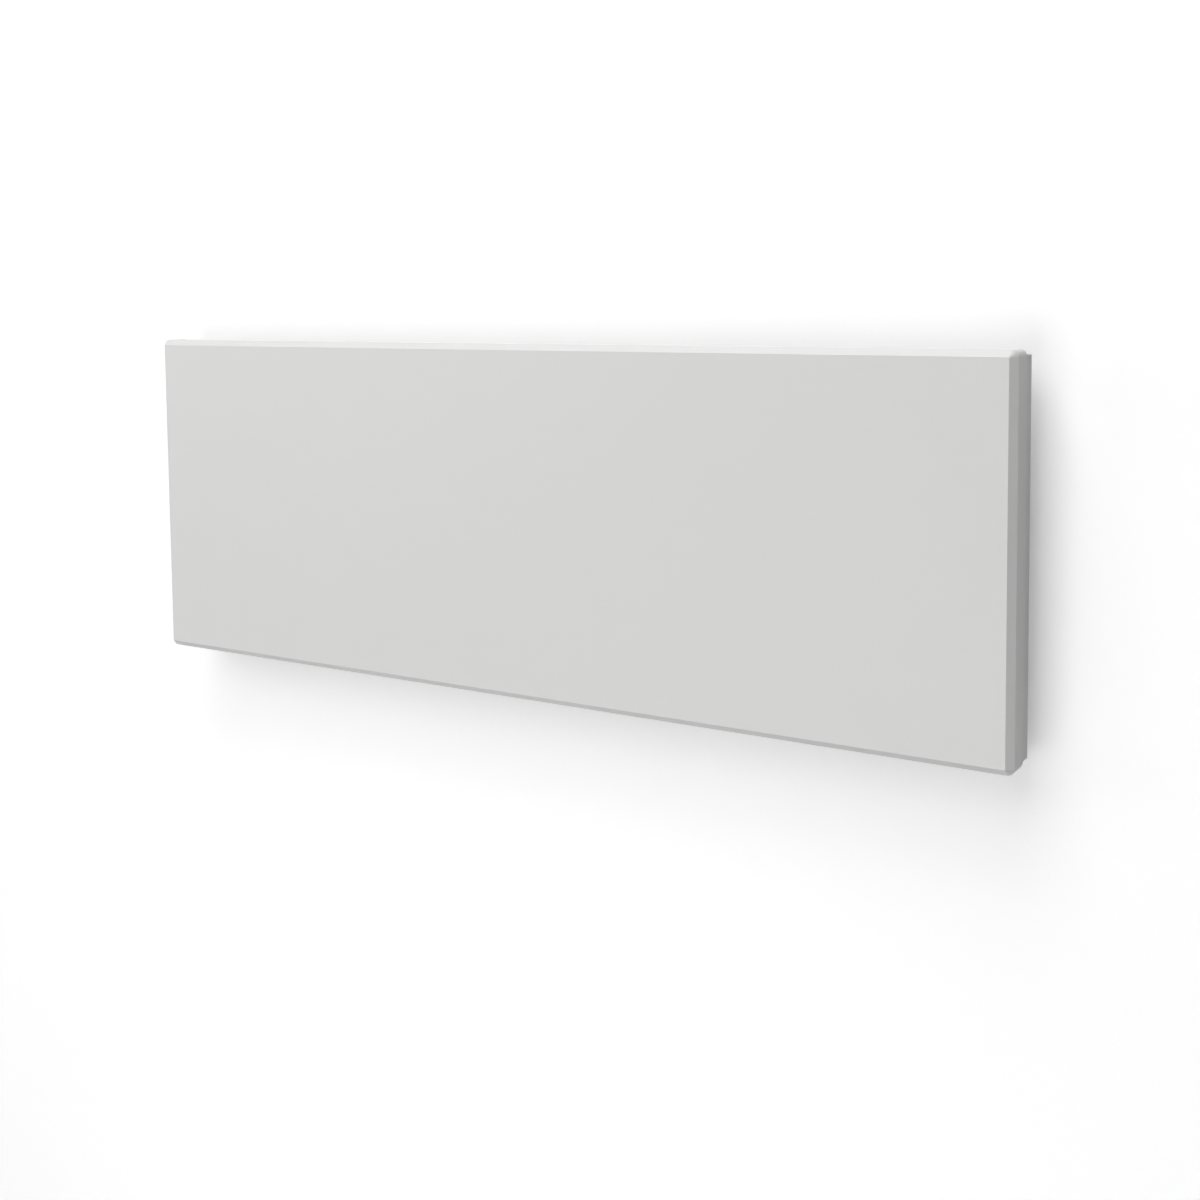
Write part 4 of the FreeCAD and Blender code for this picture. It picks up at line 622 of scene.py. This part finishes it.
class RivetHeads(bpy.types.Operator):
    """Domed rivets for the heat shield, the pivot ears and the cross bars"""

    bl_idname = "convector.add_rivets"
    bl_label = "Add rivets"

    def execute(self, context):
        fasteners(rivet, "domed", {"shield_rivets": (0, 1, 0), "ear_rivets": (0, 1, 0),
                                   "bar_rivets": (-1, 0, 0)})
        return {"FINISHED"}


class CordGrommet(bpy.types.Operator):
    """Rubber grommet with rounded brims, a plain neck and a closed membrane with a groove round it"""

    bl_idname = "convector.add_grommet"
    bl_label = "Add grommet"

    def execute(self, context):
        sizes = context.scene.convector_fittings
        low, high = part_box("cord_grommet")
        brim = (high.x - low.x) / 2
        half = (high.y - low.y) / 2
        lip = sizes.grommet_lip
        neck = brim - lip - sizes.grommet_play
        core, dish, edge = 0.12 * brim, 0.45 * brim, 0.52 * brim
        inside = sizes.grommet_inside - half
        outside = half - sizes.grommet_outside

        def rim(start):
            return [(brim - lip / 2 + lip / 2 * math.sin(turn), start + lip / 2 - lip / 2 * math.cos(turn))
                    for turn in map(math.radians, range(0, 181, 20))]

        profile = [(core, inside), (dish, inside), (edge, -half)]
        profile += rim(-half) + [(neck, lip - half), (neck, half - lip)] + rim(half - lip)
        profile += [(0.70 * brim, half), (0.66 * brim, half - sizes.grommet_groove), (0.62 * brim, half)]
        profile += [(edge, half), (dish, outside), (core, outside)]
        bm = bmesh.new()
        spin(bm, profile, facing((0, 1, 0), (low + high) / 2), sides=48)
        new_piece("cord_grommet_moulded", bm, "cord_grommet", "black_rubber", replace=True)
        return {"FINISHED"}


# Signs of the push buttons


def power_sign(bm, size, line, where):
    arc(bm, (0, 0), 0.8 * size, 125, 415, line, where)
    bar(bm, (0, 0.15 * size), (0, size), line, where)


def minus_sign(bm, size, line, where):
    bar(bm, (-size, 0), (size, 0), line, where)


def plus_sign(bm, size, line, where):
    bar(bm, (-size, 0), (size, 0), line, where)
    bar(bm, (0, line / 2), (0, size), line, where)
    bar(bm, (0, -size), (0, -line / 2), line, where)


def mode_sign(bm, size, line, where):
    for level in (-0.7, 0, 0.7):
        bar(bm, (-0.9 * size, level * size), (0.9 * size, level * size), line, where)


SIGNS = {
    "power_button": power_sign,
    "minus_button": minus_sign,
    "plus_button": plus_sign,
    "mode_button": mode_sign,
}


class PushButtons(bpy.types.Operator):
    """Dished keys with rounded rims, each with its printed sign"""

    bl_idname = "convector.add_buttons"
    bl_label = "Add buttons"

    def execute(self, context):
        sizes = context.scene.convector_fittings
        ink = sign_material("Printed sign", context.scene.convector_finish.marks, 0.25)
        rim, dish, flange = sizes.key_rim, sizes.key_dish, sizes.key_flange
        for node, sign in SIGNS.items():
            low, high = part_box(node)
            middle = (low + high) / 2
            half_x, half_y = (high.x - low.x) / 2 - flange, (high.y - low.y) / 2 - flange
            steps = [(flange, low.z), (flange, low.z + flange), (0, low.z + flange), (0, high.z - rim)]
            steps += [(-rim * (1 - math.cos(turn)), high.z - rim + rim * math.sin(turn))
                      for turn in map(math.radians, (30, 60, 90))]
            steps += [(-2 * rim, high.z - 0.5 * dish), (-4 * rim, high.z - dish)]

            def ring(grown, level):
                corner = max(sizes.key_corner + grown, sizes.key_least)
                return [Vector((middle.x + x, middle.y + y, level))
                        for x, y in rounded(half_x + grown, half_y + grown, corner)]

            def on_top(point):
                return Vector((middle.x + point.x, middle.y + point.y, high.z - dish + sizes.mark_film))

            bm = bmesh.new()
            loft(bm, [ring(grown, level) for grown, level in steps])
            new_piece(f"{node}_key", bm, node, "button_plastic", replace=True)
            bm = bmesh.new()
            sign(bm, sizes.mark_size, sizes.mark_line, on_top)
            thicken(bm, sizes.mark_film)
            new_piece(f"{node}_sign", bm, node, "black_plastic", ink, smooth=False)
        return {"FINISHED"}


class Rocker(bpy.types.Operator):
    """Hollow-faced rocker, leaned to its off side, with on and off signs"""

    bl_idname = "convector.add_rocker"
    bl_label = "Add rocker"

    def execute(self, context):
        sizes = context.scene.convector_fittings
        half = sizes.rocker_length / 2
        wide = sizes.rocker_width / 2
        edge = sizes.rocker_edge
        lean = (Matrix.Translation(JOINTS["rocker_tip"]["pos_m"])
                @ Matrix.Rotation(sizes.rocker_lean, 4, "Y"))

        def face(x):
            return sizes.rocker_dip + (sizes.rocker_tip - sizes.rocker_dip) * (x / half) ** 2

        def ring(y, drawn_in):
            reach = half - drawn_in
            across = [reach * (1 - step / FACE_STEPS) for step in range(2 * FACE_STEPS + 1)]
            points = [(x, face(x) - drawn_in) for x in across]
            points += [(-reach, sizes.rocker_dip / 2), (-0.6 * half, drawn_in - sizes.rocker_root),
                       (0.6 * half, drawn_in - sizes.rocker_root), (reach, sizes.rocker_dip / 2)]
            return [lean @ Vector((x, y, z)) for x, z in points]

        def on_face(point):
            return lean @ Vector((point.x, point.y, face(point.x) + sizes.mark_film))

        bm = bmesh.new()
        steps = [(math.sin(turn) * edge, edge - math.cos(turn) * edge)
                 for turn in map(math.radians, (90, 60, 30, 0))]
        loft(bm, [ring(-wide + edge - out, drawn) for out, drawn in steps]
             + [ring(wide - edge + out, drawn) for out, drawn in reversed(steps)])
        low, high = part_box("rocker")
        pin = (high.y - low.y) / 2
        axle = sizes.axle
        trunnion = [(0.2 * axle, wide - edge), (axle, wide - edge), (axle, pin - sizes.axle_bevel),
                    (0.85 * axle, pin), (0.2 * axle, pin)]
        for way in (-1, 1):
            spin(bm, trunnion, facing((0, way, 0), lean.translation), sides=20)
        new_piece("rocker_moulded", bm, "rocker", "black_plastic", replace=True)
        off, tall = 0.55 * half, 0.3 * wide
        bm = bmesh.new()
        bar(bm, (-off, -tall), (-off, tall), sizes.mark_line, on_face)
        arc(bm, (off, 0), tall, 0, 360, sizes.mark_line, on_face, steps=36)
        thicken(bm, sizes.mark_film)
        ink = sign_material("Pale sign", context.scene.convector_finish.paint, 0.10)
        new_piece("rocker_signs", bm, "rocker", "button_plastic", ink, smooth=False)
        return {"FINISHED"}


SEGMENTS = {
    "top": ((0, 2), (1, 2)), "upper_right": ((1, 2), (1, 1)), "lower_right": ((1, 1), (1, 0)),
    "bottom": ((0, 0), (1, 0)), "lower_left": ((0, 1), (0, 0)), "upper_left": ((0, 2), (0, 1)),
    "middle": ((0, 1), (1, 1)),
}
DIGITS = {
    "2": ("top", "upper_right", "middle", "lower_left", "bottom"),
    "1": ("upper_right", "lower_right"),
}


class Display(bpy.types.Operator):
    """Two lit digits and a degree ring on the smoked window"""

    bl_idname = "convector.add_display"
    bl_label = "Add display"

    def execute(self, context):
        sizes = context.scene.convector_fittings
        low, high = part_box("display_window")
        middle = (low + high) / 2
        cell = sizes.digit_height / 2
        stroke = sizes.digit_stroke
        advance = cell + 2.6 * stroke
        start = -advance * len(READOUT) / 2

        def on_window(point):
            return Vector((middle.x + point.x + sizes.digit_slant * point.y, middle.y + point.y,
                           high.z + sizes.mark_film))

        bm = bmesh.new()
        for number, digit in enumerate(READOUT):
            for segment in DIGITS[digit]:
                ends = [Vector((start + number * advance + x * cell, (y - 1) * cell))
                        for x, y in SEGMENTS[segment]]
                gap = (ends[1] - ends[0]).normalized() * 0.12 * stroke
                bar(bm, ends[0] + gap, ends[1] - gap, stroke, on_window, pointed=stroke / 2)
        degree = (start + len(READOUT) * advance - 0.2 * stroke, 0.75 * cell)
        arc(bm, degree, 0.9 * stroke, 0, 360, 0.45 * stroke, on_window)
        thicken(bm, sizes.mark_film)
        new_piece("display_digits", bm, "display_window", "window_plastic",
                  lit_digits(context.scene.convector_finish.digits), smooth=False)
        return {"FINISHED"}


def seen_directly(nodes):
    """1 for rays from the camera, mirrors and glass, and 0 for rays that light the scene."""
    path = nodes.add("ShaderNodeLightPath").outputs
    mirror = nodes.math("MAXIMUM", path["Is Glossy Ray"], path["Is Transmission Ray"])
    return nodes.math("MAXIMUM", path["Is Camera Ray"], mirror)


def wall_material(glow, bounce):
    """White wall or floor: bright to the camera, dimmer to the heater, and clear from behind."""
    material, nodes = new_material("White wall")
    trowel = nodes.noise(nodes.spot(), 2.0, 3.0)
    chalk = nodes.mix(trowel, (0.95, 0.95, 0.95, 1), (0.94, 0.94, 0.94, 1))
    seen = seen_directly(nodes)
    share = nodes.math("MAXIMUM", seen, bounce)
    dimmed = nodes.add("ShaderNodeVectorMath", {0: chalk, "Scale": share}, operation="SCALE")
    matt = nodes.add("ShaderNodeBsdfDiffuse", {"Color": dimmed.outputs[0]})
    light = nodes.add("ShaderNodeEmission", {"Strength": nodes.math("MULTIPLY", seen, glow)})
    front = nodes.add("ShaderNodeAddShader", {0: matt.outputs[0], 1: light.outputs[0]})
    clear = nodes.add("ShaderNodeBsdfTransparent")
    behind = nodes.add("ShaderNodeNewGeometry").outputs["Backfacing"]
    whole = nodes.add("ShaderNodeMixShader", {0: behind, 1: front.outputs[0], 2: clear.outputs[0]})
    nodes.add("ShaderNodeOutputMaterial", {"Surface": whole.outputs[0]})
    return material


def surroundings():
    """A world that is white to look at and gives no light: the lamps do that."""
    world = bpy.data.worlds.new("Studio")
    world.use_nodes = True
    world.node_tree.nodes.clear()
    nodes = Nodes(world.node_tree)
    backdrop = nodes.add("ShaderNodeBackground", {"Color": (1, 1, 1, 1), "Strength": seen_directly(nodes)})
    nodes.add("ShaderNodeOutputWorld", {"Surface": backdrop.outputs[0]})
    return world


def plane(name, size, where, material):
    """A square of the stage, facing its place's own Z."""
    half = size / 2
    mesh = bpy.data.meshes.new(name)
    corners = ((-half, -half), (half, -half), (half, half), (-half, half))
    mesh.from_pydata([where @ Vector((x, y, 0)) for x, y in corners], [], [(0, 1, 2, 3)])
    mesh.materials.append(material)
    piece = bpy.data.objects.new(name, mesh)
    bpy.context.scene.collection.objects.link(piece)
    return piece


def light(name, kind, power, point):
    """A lamp that points from its place at the heater's middle."""
    lamp = bpy.data.lights.new(name, kind)
    lamp.energy = power
    item = bpy.data.objects.new(name, lamp)
    item.matrix_world = facing(point, point)
    bpy.context.scene.collection.objects.link(item)
    return item


class Stage(bpy.types.Operator):
    """White wall, pale floor, soft light and the camera"""

    bl_idname = "convector.set_stage"
    bl_label = "Set stage"

    def execute(self, context):
        scene = context.scene
        stage = scene.convector_stage
        white = wall_material(stage.wall_glow, stage.wall_bounce)
        back = CAD_BOX[1][1] - stage.wall_inset
        wall = plane("wall", stage.wall, facing((0, -1, 0), (0, back, 0)), white)
        wall.visible_shadow = False
        plane("floor", stage.wall, Matrix.Translation((0, 0, stage.floor_level)), white)
        scene.world = surroundings()
        level = math.cos(stage.sun_rise)
        way = Vector((-math.sin(stage.sun_turn) * level, -math.cos(stage.sun_turn) * level,
                      math.sin(stage.sun_rise)))
        light("main light", "SUN", stage.sun_power, way).data.angle = stage.sun_spread
        lamps = {side: light(f"{side} lamp", "AREA", getattr(stage, f"{side}_power"),
                             getattr(stage, f"{side}_place"))
                 for side in ("left", "top", "low", "rear")}
        for lamp in lamps.values():
            lamp.data.size = stage.lamp_size
        lamps["rear"].data.cycles.max_bounces = 0
        lamps["rear"].visible_glossy = False
        view = bpy.data.cameras.new("camera")
        view.sensor_width = stage.sensor
        view.lens = stage.lens
        view.shift_y = stage.shift
        eye = bpy.data.objects.new("camera", view)
        eye.matrix_world = (Matrix.Translation(stage.camera) @ Matrix.Rotation(stage.turn, 4, "Z")
                            @ Matrix.Rotation(math.pi / 2 - stage.tilt, 4, "X")
                            @ Matrix.Rotation(stage.roll, 4, "Z"))
        scene.collection.objects.link(eye)
        scene.camera = eye
        scene.view_settings.view_transform = "Standard"
        return {"FINISHED"}


OPERATORS = (CasingFinish, BracketFinish, InsideFinish, DeckFinish, ScrewHeads, RivetHeads, CordGrommet,
             PushButtons, Rocker, Display, Stage)


class ConvectorPanel(bpy.types.Panel):
    """Sizes, colours and steps of the convector"""

    bl_idname = "VIEW3D_PT_convector"
    bl_label = "Panel convector"
    bl_space_type = "VIEW_3D"
    bl_region_type = "UI"
    bl_category = "Convector"

    def draw(self, context):
        for operator in OPERATORS:
            self.layout.operator(operator.bl_idname)
        for name, group in GROUPS.items():
            box = self.layout.box()
            box.label(text=group.__doc__)
            for setting in group.__annotations__:
                box.prop(getattr(context.scene, name), setting)


CLASSES = (*GROUPS.values(), *OPERATORS, ConvectorPanel)


def register():
    for item in CLASSES:
        bpy.utils.register_class(item)
    for name, group in GROUPS.items():
        setattr(bpy.types.Scene, name, bpy.props.PointerProperty(type=group))


def unregister():
    for name in GROUPS:
        delattr(bpy.types.Scene, name)
    for item in reversed(CLASSES):
        bpy.utils.unregister_class(item)


def main():
    register()
    for operator in OPERATORS:
        family, name = operator.bl_idname.split(".")
        getattr(getattr(bpy.ops, family), name)()


if __name__ == "__main__":
    main()
